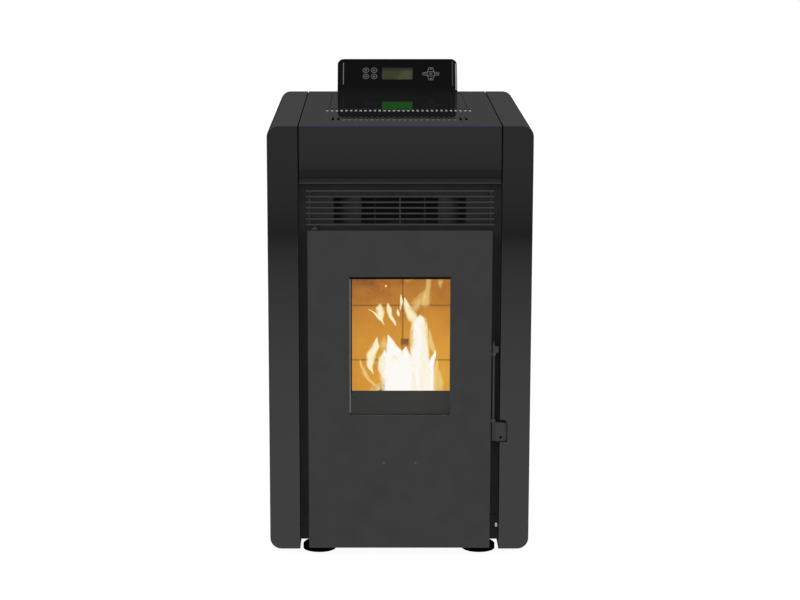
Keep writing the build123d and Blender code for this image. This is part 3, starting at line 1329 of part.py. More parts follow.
EXHAUST_Y = deep(EXHAUST_DEPTH)
SCROLL_X0 = EXHAUST_X - SCROLL_WIDTH / 2
SCROLL_X1 = EXHAUST_X + SCROLL_WIDTH / 2
OUTLET_BOX_Y0 = EXHAUST_Y + SCROLL_RADIUS + OUTLET_NECK / 4
OUTLET_BOX_Y1 = OUTLET_BOX_Y0 + OUTLET_BOX_DEPTH
FLUE_Z = EXHAUST_HEIGHT + SCROLL_RADIUS - SPIGOT_RADIUS


def exhaust_duct():
    """Smoke duct from the firebox's back to the side of the exhaust fan."""
    half = DUCT_WIDTH / 2
    y1 = EXHAUST_Y + DUCT_HEIGHT / 2
    duct = block(DUCT_X - half, DUCT_X + half, BOX_Y1, y1, DUCT_Z0, DUCT_Z1)
    duct -= block(
        DUCT_X - half + CHUTE_WALL, DUCT_X + half - CHUTE_WALL, BOX_Y1 - CUT, y1 - CHUTE_WALL,
        DUCT_Z0 + CHUTE_WALL, DUCT_Z1 - CHUTE_WALL,
    )
    return duct - rod_x(DUCT_X, SCROLL_X0 + CUT, EXHAUST_Y, EXHAUST_HEIGHT, FAN_INLET_RADIUS)


def exhaust_fan_housing():
    """Exhaust scroll on a pedestal, with a neck and a box that the flue spigot is bolted to."""
    z = EXHAUST_HEIGHT
    neck_low = z + SCROLL_RADIUS - SCROLL_WIDTH
    box_half = OUTLET_BOX_SIZE / 2
    outer = rod_x(SCROLL_X0, SCROLL_X1, EXHAUST_Y, z, SCROLL_RADIUS)
    outer += block(SCROLL_X0, SCROLL_X1, EXHAUST_Y, OUTLET_BOX_Y0 + CUT, neck_low, z + SCROLL_RADIUS)
    outer += block(
        EXHAUST_X - box_half, EXHAUST_X + box_half, OUTLET_BOX_Y0, OUTLET_BOX_Y1,
        FLUE_Z - box_half, FLUE_Z + box_half,
    )
    half_plate = PEDESTAL_THICKNESS / 2
    half_depth = PEDESTAL_DEPTH / 2
    outer += block(
        EXHAUST_X - half_plate, EXHAUST_X + half_plate, EXHAUST_Y - half_depth, EXHAUST_Y + half_depth,
        BASE_TOP, z - SCROLL_RADIUS / 2,
    )
    wall = SCROLL_WALL
    x0, x1 = SCROLL_X0 + wall, SCROLL_X1 - wall
    inner = rod_x(x0, x1, EXHAUST_Y, z, SCROLL_RADIUS - wall)
    inner += block(x0, x1, EXHAUST_Y, OUTLET_BOX_Y0 + 2 * wall, neck_low + wall, z + SCROLL_RADIUS - wall)
    inner += block(
        EXHAUST_X - box_half + wall, EXHAUST_X + box_half - wall, OUTLET_BOX_Y0 + wall,
        OUTLET_BOX_Y1 - wall, FLUE_Z - box_half + wall, FLUE_Z + box_half - wall,
    )
    inner += rod_x(SCROLL_X0 - CUT, x0 + CUT, EXHAUST_Y, z, FAN_INLET_RADIUS)
    inner += rod_x(x1 - CUT, SCROLL_X1 + CUT, EXHAUST_Y, z, FAN_SHAFT_RADIUS + CUT)
    inner += rod_y(
        EXHAUST_X, OUTLET_BOX_Y1 - 2 * wall, OUTLET_BOX_Y1 + CUT, FLUE_Z, SPIGOT_RADIUS - SPIGOT_WALL
    )
    return outer - inner


def fan_wheel(x0, x1, y, z, radius, blades, hub_radius):
    """A fan wheel along X: a back plate at its right, radial blades, a front ring and a hub."""
    plate = rod_x(x1 - SHEET, x1, y, z, radius)
    wheel = plate + rod_x(x0, x1, y, z, hub_radius)
    ring = rod_x(x0, x0 + SHEET, y, z, radius) - rod_x(x0 - CUT, x0 + SHEET + CUT, y, z, radius * 0.72)
    wheel += ring
    half = SHEET / 2
    for i in range(blades):
        blade = block(x0 + SHEET / 2, x1 - SHEET / 2, -half, half, radius * 0.6, radius - half)
        wheel += Pos(0, y, z) * Rot(360 * i / blades, 0, 0) * blade
    return wheel


def exhaust_impeller():
    """Exhaust impeller with the stub of shaft that runs into its motor."""
    x0 = EXHAUST_X - IMPELLER_WIDTH / 2
    x1 = EXHAUST_X + IMPELLER_WIDTH / 2
    wheel = fan_wheel(
        x0, x1, EXHAUST_Y, EXHAUST_HEIGHT, IMPELLER_RADIUS, IMPELLER_BLADES, 2 * FAN_SHAFT_RADIUS
    )
    return wheel + rod_x(x0, SCROLL_X1 + FAN_SHAFT_GRIP, EXHAUST_Y, EXHAUST_HEIGHT, FAN_SHAFT_RADIUS)


def fan_motor(x0, length, y, z, radius):
    """A fan motor along X on its mounting plate, with a bore for the wheel's shaft."""
    body = rod_x(x0, x0 + length, y, z, radius)
    body = chamfer(body.edges().sort_by(Axis.X)[-1:], radius / 8)
    plate = block(x0, x0 + SHEET, y - radius - SHEET, y + radius + SHEET, z - SHEET * 5, z + SHEET * 5)
    bore = rod_x(x0 - CUT, x0 + FAN_SHAFT_GRIP + CUT, y, z, FAN_SHAFT_RADIUS + RUNNING_GAP)
    return body + plate - bore


def exhaust_motor():
    """Exhaust fan motor on the free side of the scroll."""
    return fan_motor(SCROLL_X1, EXHAUST_MOTOR_LENGTH, EXHAUST_Y, EXHAUST_HEIGHT, EXHAUST_MOTOR_RADIUS)


def flue_spigot():
    """Flue spigot through the rear panel, with a flange on the fan's outlet box."""
    end = BACK_Y + SPIGOT_PROJECTION
    spigot = rod_y(EXHAUST_X, BACK_Y, end, FLUE_Z, SPIGOT_RADIUS)
    spigot += rod_y(EXHAUST_X, OUTLET_BOX_Y1, BACK_Y, FLUE_Z, SPIGOT_RADIUS - PIPE_STEP)
    spigot += rod_y(EXHAUST_X, OUTLET_BOX_Y1, OUTLET_BOX_Y1 + SHEET, FLUE_Z, SPIGOT_RADIUS + SHEET)
    return spigot - rod_y(
        EXHAUST_X, OUTLET_BOX_Y1 - CUT, end + CUT, FLUE_Z, SPIGOT_RADIUS - SPIGOT_WALL
    )


def air_inlet_pipe():
    """Combustion air pipe from behind the casing into the burn pot holder."""
    y0 = BOX_Y1 - FIREBOX_WALL
    y1 = BACK_Y + PIPE_PROJECTION
    pipe = rod_y(0, BACK_Y, y1, PIPE_Z, PIPE_RADIUS) + rod_y(0, y0, BACK_Y, PIPE_Z, PIPE_RADIUS - PIPE_STEP)
    return pipe - rod_y(0, y0 - CUT, y1 + CUT, PIPE_Z, PIPE_RADIUS - PIPE_WALL)


# ---------------------------------------------------------------- room-air fan

ROOM_Y = BOX_Y1 + ROOM_SCROLL_RADIUS
ROOM_Z = BASE_TOP + SHEET + ROOM_SCROLL_RADIUS
ROOM_X0 = ROOM_FAN_X - ROOM_FAN_WIDTH / 2
ROOM_X1 = ROOM_FAN_X + ROOM_FAN_WIDTH / 2


def room_fan_housing():
    """Room-air scroll standing on the base plate, blowing up into the riser."""
    outer = rod_x(ROOM_X0, ROOM_X1, ROOM_Y, ROOM_Z, ROOM_SCROLL_RADIUS)
    outer += block(ROOM_X0, ROOM_X1, BOX_Y1, BOX_Y1 + RISER_DEPTH, ROOM_Z, ROOM_NECK_TOP)
    half = ROOM_SCROLL_RADIUS / 2
    outer += block(ROOM_X0, ROOM_X1, ROOM_Y - half, ROOM_Y + half, BASE_TOP, BASE_TOP + 2 * SHEET)
    x0, x1 = ROOM_X0 + SHEET, ROOM_X1 - SHEET
    inner = rod_x(x0, x1, ROOM_Y, ROOM_Z, ROOM_SCROLL_RADIUS - SHEET)
    inner += block(x0, x1, BOX_Y1 + SHEET, BOX_Y1 + RISER_DEPTH - SHEET, ROOM_Z, ROOM_NECK_TOP + CUT)
    inner += rod_x(ROOM_X0 - CUT, ROOM_X1 + CUT, ROOM_Y, ROOM_Z, ROOM_INLET_RADIUS)
    return outer - inner


def room_fan_rotor():
    """Squirrel-cage rotor with the stub of shaft that runs into its motor."""
    x0 = ROOM_FAN_X - ROOM_ROTOR_WIDTH / 2
    x1 = ROOM_FAN_X + ROOM_ROTOR_WIDTH / 2
    wheel = fan_wheel(x0, x1, ROOM_Y, ROOM_Z, ROOM_ROTOR_RADIUS, ROOM_ROTOR_BLADES, 2 * FAN_SHAFT_RADIUS)
    return wheel + rod_x(x0, ROOM_X1 + FAN_SHAFT_GRIP, ROOM_Y, ROOM_Z, FAN_SHAFT_RADIUS)


def room_fan_motor():
    """Room-air fan motor, bolted across the scroll's right inlet by its plate."""
    motor = fan_motor(ROOM_X1, ROOM_MOTOR_LENGTH, ROOM_Y, ROOM_Z, ROOM_MOTOR_RADIUS)
    reach = ROOM_INLET_RADIUS + 4 * SHEET
    strap = block(
        ROOM_X1, ROOM_X1 + SHEET, ROOM_Y - reach, ROOM_Y + reach, ROOM_Z - 4 * SHEET, ROOM_Z + 4 * SHEET
    )
    bore = rod_x(ROOM_X1 - CUT, ROOM_X1 + FAN_SHAFT_GRIP, ROOM_Y, ROOM_Z, FAN_SHAFT_RADIUS + RUNNING_GAP)
    return motor + strap - bore


def air_riser():
    """Riser from the room-air fan up behind the firebox, opening into the heat exchanger."""
    x0 = ROOM_FAN_X - RISER_WIDTH / 2
    x1 = ROOM_FAN_X + RISER_WIDTH / 2
    y1 = BOX_Y1 + RISER_DEPTH
    reach = CELL_REACH + EXCHANGER_WALL
    z1 = BOX_Z1 + EXCHANGER_HEIGHT
    wall = RISER_WALL
    duct = block(x0, x1, BOX_Y1, y1, ROOM_NECK_TOP, BOX_Z1 + CUT)
    duct += block(-reach, x1, BOX_Y1, y1, BOX_Z1, z1)
    duct -= block(x0 + wall, x1 - wall, BOX_Y1 + wall, y1 - wall, ROOM_NECK_TOP - CUT, BOX_Z1 + 2 * wall)
    duct -= block(-reach + wall, x1 - wall, BOX_Y1 + wall, y1 - wall, BOX_Z1 + wall, z1 - wall)
    return duct - block(
        -CELL_REACH, CELL_REACH, BOX_Y1 - CUT, BOX_Y1 + 2 * wall, BOX_Z1 + EXCHANGER_WALL,
        z1 - EXCHANGER_WALL,
    )


# ---------------------------------------------------------------- electrics

INLET_TOP = INLET_BOTTOM + INLET_HEIGHT
ROCKER_Y = BACK_Y
ROCKER_Z = INLET_TOP - ROCKER_HEIGHT / 2 - 4 * INLET_FLANGE / 2
ROCKER_PIVOT = 1.5


def control_board():
    """Control board on stand-offs on the right side wall."""
    x1 = WALL_X - BOARD_STANDOFF
    y0, z0 = deep(BOARD_FRONT), BOARD_BOTTOM
    y1, z1 = y0 + BOARD_LENGTH, z0 + BOARD_HEIGHT
    board = block(x1 - SHEET, x1, y0, y1, z0, z1)
    inset = BOARD_STANDOFF
    for y in (y0 + inset, y1 - inset):
        for z in (z0 + inset, z1 - inset):
            board += rod_x(x1 - SHEET, WALL_X, y, z, BOARD_STANDOFF / 3)
    transformer = on_board(TRANSFORMER_SIZE, *TRANSFORMER_START)
    along, rise = RELAY_START
    return board + transformer + [
        on_board(RELAY_SIZE, along + i * RELAY_PITCH, rise) for i in range(RELAY_COUNT)
    ]


def on_board(size, along, rise):
    """A component on the control board: its size out, along and up, and where it starts."""
    face = WALL_X - BOARD_STANDOFF - SHEET
    y0, z0 = deep(BOARD_FRONT) + along, BOARD_BOTTOM + rise
    return block(face - size[0], face + SHEET / 2, y0, y0 + size[1], z0, z0 + size[2])


def power_inlet():
    """Mains inlet module in the rear panel, with its socket and the seat of the rocker."""
    half = INLET_WIDTH / 2
    module = block(INLET_X - half, INLET_X + half, BACK_Y - INLET_DEPTH, BACK_Y, INLET_BOTTOM, INLET_TOP)
    module += block(
        INLET_X - half - SHEET, INLET_X + half + SHEET, BACK_Y, BACK_Y + INLET_FLANGE,
        INLET_BOTTOM - SHEET, INLET_TOP + SHEET,
    )
    socket_z = INLET_BOTTOM + 2 * INLET_FLANGE
    end = BACK_Y + INLET_FLANGE + CUT
    module -= block(
        INLET_X - SOCKET_WIDTH / 2, INLET_X + SOCKET_WIDTH / 2, BACK_Y - SOCKET_DEPTH, end,
        socket_z, socket_z + SOCKET_HEIGHT,
    )
    blade_z = socket_z + SOCKET_HEIGHT / 2
    for dx in (-SOCKET_WIDTH / 4, 0, SOCKET_WIDTH / 4):
        module += block(
            INLET_X + dx - 1, INLET_X + dx + 1, BACK_Y - SOCKET_DEPTH - CUT, BACK_Y - SHEET,
            blade_z - SHEET, blade_z + SHEET,
        )
    module -= block(
        INLET_X - ROCKER_WIDTH / 2 - ROCKER_GAP, INLET_X + ROCKER_WIDTH / 2 + ROCKER_GAP,
        BACK_Y - SOCKET_DEPTH / 2, end, ROCKER_Z - ROCKER_HEIGHT / 2 - 2 * ROCKER_GAP,
        ROCKER_Z + ROCKER_HEIGHT / 2 + 2 * ROCKER_GAP,
    )
    reach = ROCKER_WIDTH / 2 + 2 * SHEET
    return module - rod_x(
        INLET_X - reach, INLET_X + reach, ROCKER_Y, ROCKER_Z, ROCKER_PIVOT + RUNNING_GAP
    )


def rocker_switch():
    """Rocker of the mains switch, resting in its off position on two small pivots."""
    tall = ROCKER_HEIGHT / 2
    outline = [
        (-2 * SHEET, -tall + SHEET),
        (INLET_FLANGE + SHEET, -tall),
        (INLET_FLANGE, 0),
        (INLET_FLANGE + SHEET, tall),
        (-2 * SHEET, tall - SHEET),
    ]
    rocker = side_prism(outline, -ROCKER_WIDTH / 2, ROCKER_WIDTH / 2)
    reach = ROCKER_WIDTH / 2 + 1.5 * SHEET
    rocker += rod_x(-reach, reach, 0, 0, ROCKER_PIVOT)
    return Pos(INLET_X, ROCKER_Y, ROCKER_Z) * Rot(-ROCKER_THROW, 0, 0) * rocker


# ---------------------------------------------------------------- export

NODES = {
    "base_plate": base_plate,
    "feet": feet,
    "foot_studs": foot_studs,
    "foot_nuts": foot_nuts,
    "left_side_panel": lambda: other_side(side_panel()),
    "right_side_panel": right_side_panel,
    "rear_panel": rear_panel,
    "top_cover": top_cover,
    "front_frame": front_frame,
    "air_grille": air_grille,
    "slot_tray": slot_tray,
    "hopper_lid": hopper_lid,
    "lid_hinges": lid_hinges,
    "lid_seal": lid_seal,
    "hopper": hopper,
    "hopper_grate": hopper_grate,
    "display_housing": display_housing,
    "display_face": display_face,
    "display_lcd": display_lcd,
    "touch_keys": touch_keys,
    "door_skin": door_skin,
    "door_frame": door_frame,
    "door_glass": door_glass,
    "glass_gasket": glass_gasket,
    "glass_clips": glass_clips,
    "door_gasket": door_gasket,
    "badge_rivets": badge_rivets,
    "hinge_brackets": hinge_brackets,
    "latch_rod": latch_rod,
    "latch_grip": latch_grip,
    "latch_cam": latch_cam,
    "latch_brackets": latch_brackets,
    "latch_keeper": latch_keeper,
    "firebox": firebox,
    "back_lining": back_lining,
    "side_linings": side_linings,
    "baffle": baffle,
    "burn_pot": burn_pot,
    "burn_pot_holder": burn_pot_holder,
    "igniter": igniter,
    "ash_pan": ash_pan,
    "exchanger": exchanger,
    "auger_tube": auger_tube,
    "auger_screw": auger_screw,
    "auger_gearmotor": auger_gearmotor,
    "pellet_chute": pellet_chute,
    "exhaust_duct": exhaust_duct,
    "exhaust_fan_housing": exhaust_fan_housing,
    "exhaust_impeller": exhaust_impeller,
    "exhaust_motor": exhaust_motor,
    "flue_spigot": flue_spigot,
    "air_inlet_pipe": air_inlet_pipe,
    "room_fan_housing": room_fan_housing,
    "room_fan_rotor": room_fan_rotor,
    "room_fan_motor": room_fan_motor,
    "air_riser": air_riser,
    "control_board": control_board,
    "power_inlet": power_inlet,
    "rocker_switch": rocker_switch,
    "casing_screws": casing_screws,
}

os.makedirs("parts", exist_ok=True)
for name, make in NODES.items():
    export_step(make(), f"parts/{name}.step")
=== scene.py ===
"""Looks of the pellet stove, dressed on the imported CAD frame.

Every class below is one sub-assembly or one finish. Lengths are metres, except where a class says
millimetres, in the CAD's own frame: +Z is up, the door faces -Y and the floor is at z = 0.
"""

import logging
import math
import random
from dataclasses import dataclass
from enum import Enum

import bmesh
import bpy
from bmesh.types import BMEdge, BMesh, BMVert
from bpy.types import ID, Material, Mesh, Node, NodeSocket, Object, World
from mathutils import Matrix, Vector


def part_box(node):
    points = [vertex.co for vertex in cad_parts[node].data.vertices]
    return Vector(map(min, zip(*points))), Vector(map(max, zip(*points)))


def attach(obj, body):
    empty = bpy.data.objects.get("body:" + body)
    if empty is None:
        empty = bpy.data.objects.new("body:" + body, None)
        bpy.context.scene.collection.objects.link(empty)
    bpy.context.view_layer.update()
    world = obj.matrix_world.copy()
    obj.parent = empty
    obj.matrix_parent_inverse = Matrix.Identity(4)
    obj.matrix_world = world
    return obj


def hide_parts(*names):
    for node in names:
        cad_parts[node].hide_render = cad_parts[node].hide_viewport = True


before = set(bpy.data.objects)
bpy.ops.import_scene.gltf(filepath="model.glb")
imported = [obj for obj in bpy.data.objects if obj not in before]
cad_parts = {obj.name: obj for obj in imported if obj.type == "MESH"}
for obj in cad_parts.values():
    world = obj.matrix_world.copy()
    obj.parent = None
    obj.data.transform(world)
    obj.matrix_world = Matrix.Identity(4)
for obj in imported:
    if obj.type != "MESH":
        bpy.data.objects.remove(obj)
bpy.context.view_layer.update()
LOG = logging.getLogger("stove")
MM = 0.001
MIDDLE = (0.3, 0.7)  # where most of a noise's values lie
Colour = tuple[float, float, float]
Pair = tuple[float, float]
Point = tuple[float, float, float]


class Body(Enum):
    """CAD bodies that the new pieces ride on."""

    CASING = "casing"
    DOOR = "door"
    POT = "pot"


def grey(level: float) -> Colour:
    """A neutral colour of one level."""
    return (level, level, level)


def shaded(colour: Colour, share: float) -> Colour:
    """A colour made darker or lighter by a share, and at most 1."""
    return tuple(min(1.0, c * share) for c in colour)


# --- finishes


class Paintbox:
    """A node tree under construction, with short calls that add and join its nodes."""

    def __init__(self, owner: Material | World) -> None:
        """Empties the owner's tree and reads Object coordinates."""
        owner.use_nodes = True
        self.tree = owner.node_tree
        self.tree.nodes.clear()
        self.place = self.node("ShaderNodeTexCoord").outputs["Object"]

    def node(self, kind: str, inputs: dict | None = None, **settings) -> Node:
        """Adds a node.

        Args:
            kind: the node's type name.
            inputs: socket names or numbers with a value or an output to join.
            settings: properties set on the node itself.

        Returns:
            The new node.
        """
        made = self.tree.nodes.new(kind)
        for key, value in settings.items():
            setattr(made, key, value)
        for key, value in (inputs or {}).items():
            self.feed(made.inputs[key], value)
        return made

    def feed(self, socket: NodeSocket, value: object) -> None:
        """Joins an output to a socket, or sets the socket's value."""
        if isinstance(value, NodeSocket):
            self.tree.links.new(value, socket)
        elif isinstance(value, tuple) and len(value) == 3 and socket.type == "RGBA":
            socket.default_value = (*value, 1.0)
        else:
            socket.default_value = value

    def stretched(self, scale: Point, centre: Point = (0.0, 0.0, 0.0)) -> NodeSocket:
        """Object coordinates scaled about a centre."""
        shift = tuple(-c * s for c, s in zip(centre, scale))
        mapping = self.node("ShaderNodeMapping", {"Vector": self.place, "Scale": scale, "Location": shift})
        return mapping.outputs[0]

    def noise(
        self, scale: float, detail: float = 3.0, at: NodeSocket | None = None, distortion: float = 0.0
    ) -> NodeSocket:
        """Noise between 0 and 1 on Object coordinates or on the ones given."""
        return self.node("ShaderNodeTexNoise", {
            "Vector": at or self.place, "Scale": scale, "Detail": detail, "Distortion": distortion,
        }).outputs["Fac"]

    def cells(self, scale: float, at: NodeSocket | None = None, output: str = "Distance") -> NodeSocket:
        """Voronoi cells on Object coordinates or on the ones given."""
        return self.node("ShaderNodeTexVoronoi", {"Vector": at or self.place, "Scale": scale}).outputs[output]

    def crystals(self, scale: float) -> NodeSocket:
        """A level from 0 to 1 that jumps from cell to cell."""
        colours = self.cells(scale, output="Color")
        return self.node("ShaderNodeSeparateColor", {"Color": colours}).outputs[0]

    def ramp(self, value: NodeSocket, *stops: tuple[float, Colour]) -> NodeSocket:
        """Colours between stops."""
        made = self.node("ShaderNodeValToRGB", {"Fac": value})
        ramp = made.color_ramp
        while len(ramp.elements) < len(stops):
            ramp.elements.new(0.5)
        for element, (position, colour) in zip(ramp.elements, stops):
            element.position = position
            element.color = (*colour, 1.0)
        return made.outputs["Color"]

    def level(
        self, value: NodeSocket, low: float, high: float, start: float = 0.0, end: float = 1.0
    ) -> NodeSocket:
        """Maps start to end onto low to high, held at both ends."""
        return self.node("ShaderNodeMapRange", {
            "Value": value, "From Min": start, "From Max": end, "To Min": low, "To Max": high,
        }).outputs[0]

    def math(self, operation: str, a: object, b: object = 0.0) -> NodeSocket:
        """One sum on two values."""
        return self.node("ShaderNodeMath", {0: a, 1: b}, operation=operation).outputs[0]

    def all_of(self, *shares: object) -> NodeSocket:
        """The product of two or more shares."""
        product = shares[0]
        for share in shares[1:]:
            product = self.math("MULTIPLY", product, share)
        return product

    def blend(self, share: object, a: object, b: object) -> NodeSocket:
        """A mix of two colours."""
        return self.node("ShaderNodeMix", {0: share, 6: a, 7: b}, data_type="RGBA").outputs[2]

    def bump(self, height: NodeSocket, depth: float, under: NodeSocket | None = None) -> NodeSocket:
        """A normal bent by a height map of a depth in metres."""
        inputs = {"Height": height, "Distance": depth, "Strength": 1.0}
        if under is not None:
            inputs["Normal"] = under
        return self.node("ShaderNodeBump", inputs).outputs[0]

    def axes(self) -> list[NodeSocket]:
        """Object coordinates one by one."""
        return list(self.node("ShaderNodeSeparateXYZ", {"Vector": self.place}).outputs)

    def span(self, axis: int, low: float, high: float) -> NodeSocket:
        """How far a point is from low to high along an axis, from 0 to 1."""
        return self.level(self.axes()[axis], 0.0, 1.0, low, high)

    def inside(self, *sides: tuple[int, float, float]) -> NodeSocket:
        """1 in a zone, 0 outside it. Each side is an axis with the places where the zone begins and is full."""
        return self.all_of(*(self.span(*side) for side in sides))

    def drift(self, cloud: NodeSocket, colour: Colour, low: float, high: float = 1.0) -> NodeSocket:
        """A colour that a cloud darkens or lightens between two shares of it."""
        return self.blend(cloud, shaded(colour, low), shaded(colour, high))

    def near(self, centre: Point, radii: Point) -> NodeSocket:
        """0 at a centre and 1 on an ellipsoid of the given radii around it, and further out."""
        ball = self.stretched(tuple(1.0 / r for r in radii), centre)
        return self.node("ShaderNodeVectorMath", {0: ball}, operation="LENGTH").outputs["Value"]

    def surface(self, **inputs) -> NodeSocket:
        """The Principled shader; an argument's underscores are spaces in the socket's name."""
        named = {key.replace("_", " "): value for key, value in inputs.items()}
        return self.node("ShaderNodeBsdfPrincipled", named).outputs[0]

    def glow(self, colour: object, strength: object) -> NodeSocket:
        """A shader that only gives light."""
        return self.node("ShaderNodeEmission", {"Color": colour, "Strength": strength}).outputs[0]

    def facing(self) -> NodeSocket:
        """0 where the surface faces the eye, 1 at its outline."""
        return self.node("ShaderNodeLayerWeight", {"Blend": 0.5}).outputs["Facing"]

    def direct(self) -> NodeSocket:
        """1 for the camera's rays and those that come through glass, 0 for all others."""
        rays = self.node("ShaderNodeLightPath").outputs
        return self.math("MAXIMUM", rays["Is Camera Ray"], rays["Is Transmission Ray"])

    def mirrored(self) -> NodeSocket:
        """1 for the rays of a reflection, 0 for all others."""
        return self.node("ShaderNodeLightPath").outputs["Is Glossy Ray"]

    def close(self, shader: NodeSocket, output: str = "ShaderNodeOutputMaterial") -> None:
        """Joins the shader to the tree's output."""
        self.feed(self.tree.nodes.new(output).inputs["Surface"], shader)

    def mix(self, share: object, a: NodeSocket, b: NodeSocket) -> NodeSocket:
        """A mix of two shaders."""
        return self.node("ShaderNodeMixShader", {0: share, 1: a, 2: b}).outputs[0]


@dataclass(frozen=True)
class Finish:
    """A finish with its material's name. Each kind below says how its shader is made."""

    name: str

    def shader(self, box: Paintbox) -> NodeSocket:
        """Makes the shader in a paintbox."""
        raise NotImplementedError

    def material(self) -> Material:
        """Builds the material."""
        made = bpy.data.materials.new(self.name)
        box = Paintbox(made)
        box.close(self.shader(box))
        return made


@dataclass(frozen=True)
class Enamel(Finish):
    """Powder-coated sheet: fine orange peel, faint mottling and settled dust.

    painted_mirror_by_height pairs heights with mirror shares; where it is set, the shares paint highlights and
    shade up the front band. painted_edge_sheen is two heights and the colour between them, a painted blue sheen
    in the front edge's reflection; pale_slot_walls the front, the back and the top of a zone whose slot walls
    take its grey; and sooty a half width, the height above which it begins and the share of the colour left
    there, painted shade behind the grille. lift is the strength of a painted glow that stands in for the light
    that many bounces leave.
    """

    colour: Colour
    roughness: float = 0.45
    specular: float = 0.5
    mirror: float = 0.0
    mirror_blur: float = 0.04
    painted_mirror_by_height: tuple[Pair, ...] = ()
    painted_edge_sheen: tuple[float, float, Colour] | None = None
    pale_slot_walls: tuple[float, float, float, float] | None = None
    painted_shade_behind_grille: Point | None = None
    lift: float = 0.0
    peel: float = 0.000012
    peel_scale: float = 420.0
    mottle: float = 0.12
    dust: float = 0.25

    def shader(self, box: Paintbox) -> NodeSocket:
        """Makes the coat, with a plain mirror share on top where it is glossy."""
        coat = box.drift(box.noise(9.0, 4.0), self.colour, 1 - self.mottle, 1 + self.mottle)
        specks = box.level(box.cells(260.0), 1.0, 0.0, 0.02, 0.06)
        coat = box.blend(box.all_of(specks, self.dust * 0.1), coat, grey(0.5))
        # The walls of the top's slots, below its upper face, take a pale grey.
        if self.pale_slot_walls:
            front, back, top, tone = self.pale_slot_walls
            slots = box.inside((1, front, front + MM), (1, back, back - MM), (2, top, top - 0.1 * MM))
            coat = box.blend(slots, coat, grey(tone))
        # Painted shade: the frame is darkened behind the grille, where the top's lip shades it.
        if self.painted_shade_behind_grille:
            half, low, left = self.painted_shade_behind_grille
            soot = box.inside((0, -half, 10 * MM - half), (0, half, half - 10 * MM), (2, low, low + MM))
            coat = box.blend(soot, coat, shaded(self.colour, left))
        gloss = box.level(box.noise(30.0, 5.0), self.roughness * 0.9, self.roughness * 1.12, *MIDDLE)
        peel = box.bump(box.noise(self.peel_scale, 2.0), self.peel)
        # Emission_Strength is lift: a painted glow that stands in for light bounced into shaded recesses.
        paint = box.surface(
            Base_Color=coat, Roughness=gloss, Specular_IOR_Level=self.specular, Normal=peel,
            Emission_Color=grey(1.0), Emission_Strength=self.lift,
        )
        if not self.mirror:
            return paint
        shine = box.node(
            "ShaderNodeBsdfGlossy", {"Color": self.tint(box), "Roughness": self.mirror_blur, "Normal": peel}
        ).outputs[0]
        return box.mix(self.share(box), paint, shine)

    def tint(self, box: Paintbox) -> object:
        """White, or a painted blue sheen in the reflection along the front's rolled edge between two heights."""
        if self.painted_edge_sheen is None:
            return grey(1.0)
        low, high, colour = self.painted_edge_sheen
        up = box.span(2, 2 * low - high, 2 * high - low)
        rim = box.ramp(up, (0.3, grey(1.0)), (0.34, colour), (0.655, colour), (0.668, grey(1.0)))
        return box.blend(box.span(1, -0.325, -0.33), grey(1.0), rim)

    def share(self, box: Paintbox) -> object:
        """The mirror's share: one value, or one that follows the height and so paints highlights and shade over
        the rolled edges.
        """
        if not self.painted_mirror_by_height:
            return self.mirror
        low, high = self.painted_mirror_by_height[0][0], self.painted_mirror_by_height[-1][0]
        stops = [((z - low) / (high - low), grey(share)) for z, share in self.painted_mirror_by_height]
        return box.ramp(box.span(2, low, high), *stops)


@dataclass(frozen=True)
class SheetMetal(Finish):
    """Bare or plated steel with a grain, light and dark drifts and a heat stain where it gets hot."""

    colour: Colour
    roughness: float = 0.35
    stain: float = 0.0
    grain: float = 120.0
    scratch: float = 0.000004

    def shader(self, box: Paintbox) -> NodeSocket:
        """Makes the metal."""
        grain = box.noise(self.grain, 4.0)
        tone = box.drift(box.noise(14.0), self.colour, 0.82, 1.1)
        tone = box.blend(box.level(grain, 0.0, 0.35), tone, shaded(self.colour, 0.6))
        if self.stain:
            heat = box.all_of(box.level(box.noise(7.0, 5.0), 0.0, 1.0, 0.42, 0.7), self.stain)
            tone = box.blend(heat, tone, (0.12, 0.075, 0.04))
        rough = box.level(grain, self.roughness * 0.8, self.roughness * 1.35)
        return box.surface(Base_Color=tone, Metallic=1.0, Roughness=rough, Normal=box.bump(grain, self.scratch))


@dataclass(frozen=True)
class ScrewSteel(Finish):
    """Zinc-plated screws; the ones in the front left quarter are coloured black."""

    bright: Colour = (0.72, 0.74, 0.76)
    black: Colour = (0.03, 0.03, 0.03)

    def shader(self, box: Paintbox) -> NodeSocket:
        """Makes the metal."""
        tone = box.blend(box.inside((0, 0.0, -0.01), (1, 0.0, -0.01)), self.bright, self.black)
        return box.surface(Base_Color=tone, Metallic=1.0, Roughness=box.level(box.noise(300.0), 0.24, 0.36))


@dataclass(frozen=True)
class TraySheet(Finish):
    """Pale coated sheet under the top's slots; its darker tone under the front row is painted shade."""

    rear: float = 0.5
    front: float = 0.32
    change: Pair = (-0.2, -0.15)

    def shader(self, box: Paintbox) -> NodeSocket:
        """Makes the coat."""
        # Painted shade: the sheet is darker under the front row of slots than under the rear row.
        tone = box.blend(box.span(1, *self.change), grey(self.front), grey(self.rear))
        tone = box.blend(box.level(box.noise(60.0), 0.85, 1.0), grey(0.2), tone)
        return box.surface(Base_Color=tone, Roughness=0.6, Normal=box.bump(box.noise(400.0), 0.00001))


@dataclass(frozen=True)
class Galvanised(Finish):
    """Zinc-dipped sheet with its spangle of crystals."""

    colour: Colour = (0.56, 0.58, 0.6)
    spangle: float = 85.0

    def shader(self, box: Paintbox) -> NodeSocket:
        """Makes the spangled metal."""
        shade = box.crystals(self.spangle)
        tone = box.drift(shade, self.colour, 0.78)
        tone = box.blend(box.level(box.noise(11.0, 4.0), 0.0, 0.3, 0.4, 0.8), tone, grey(0.42))
        return box.surface(
            Base_Color=tone, Metallic=1.0, Roughness=box.level(shade, 0.32, 0.5), Normal=box.bump(shade, 0.000006)
        )


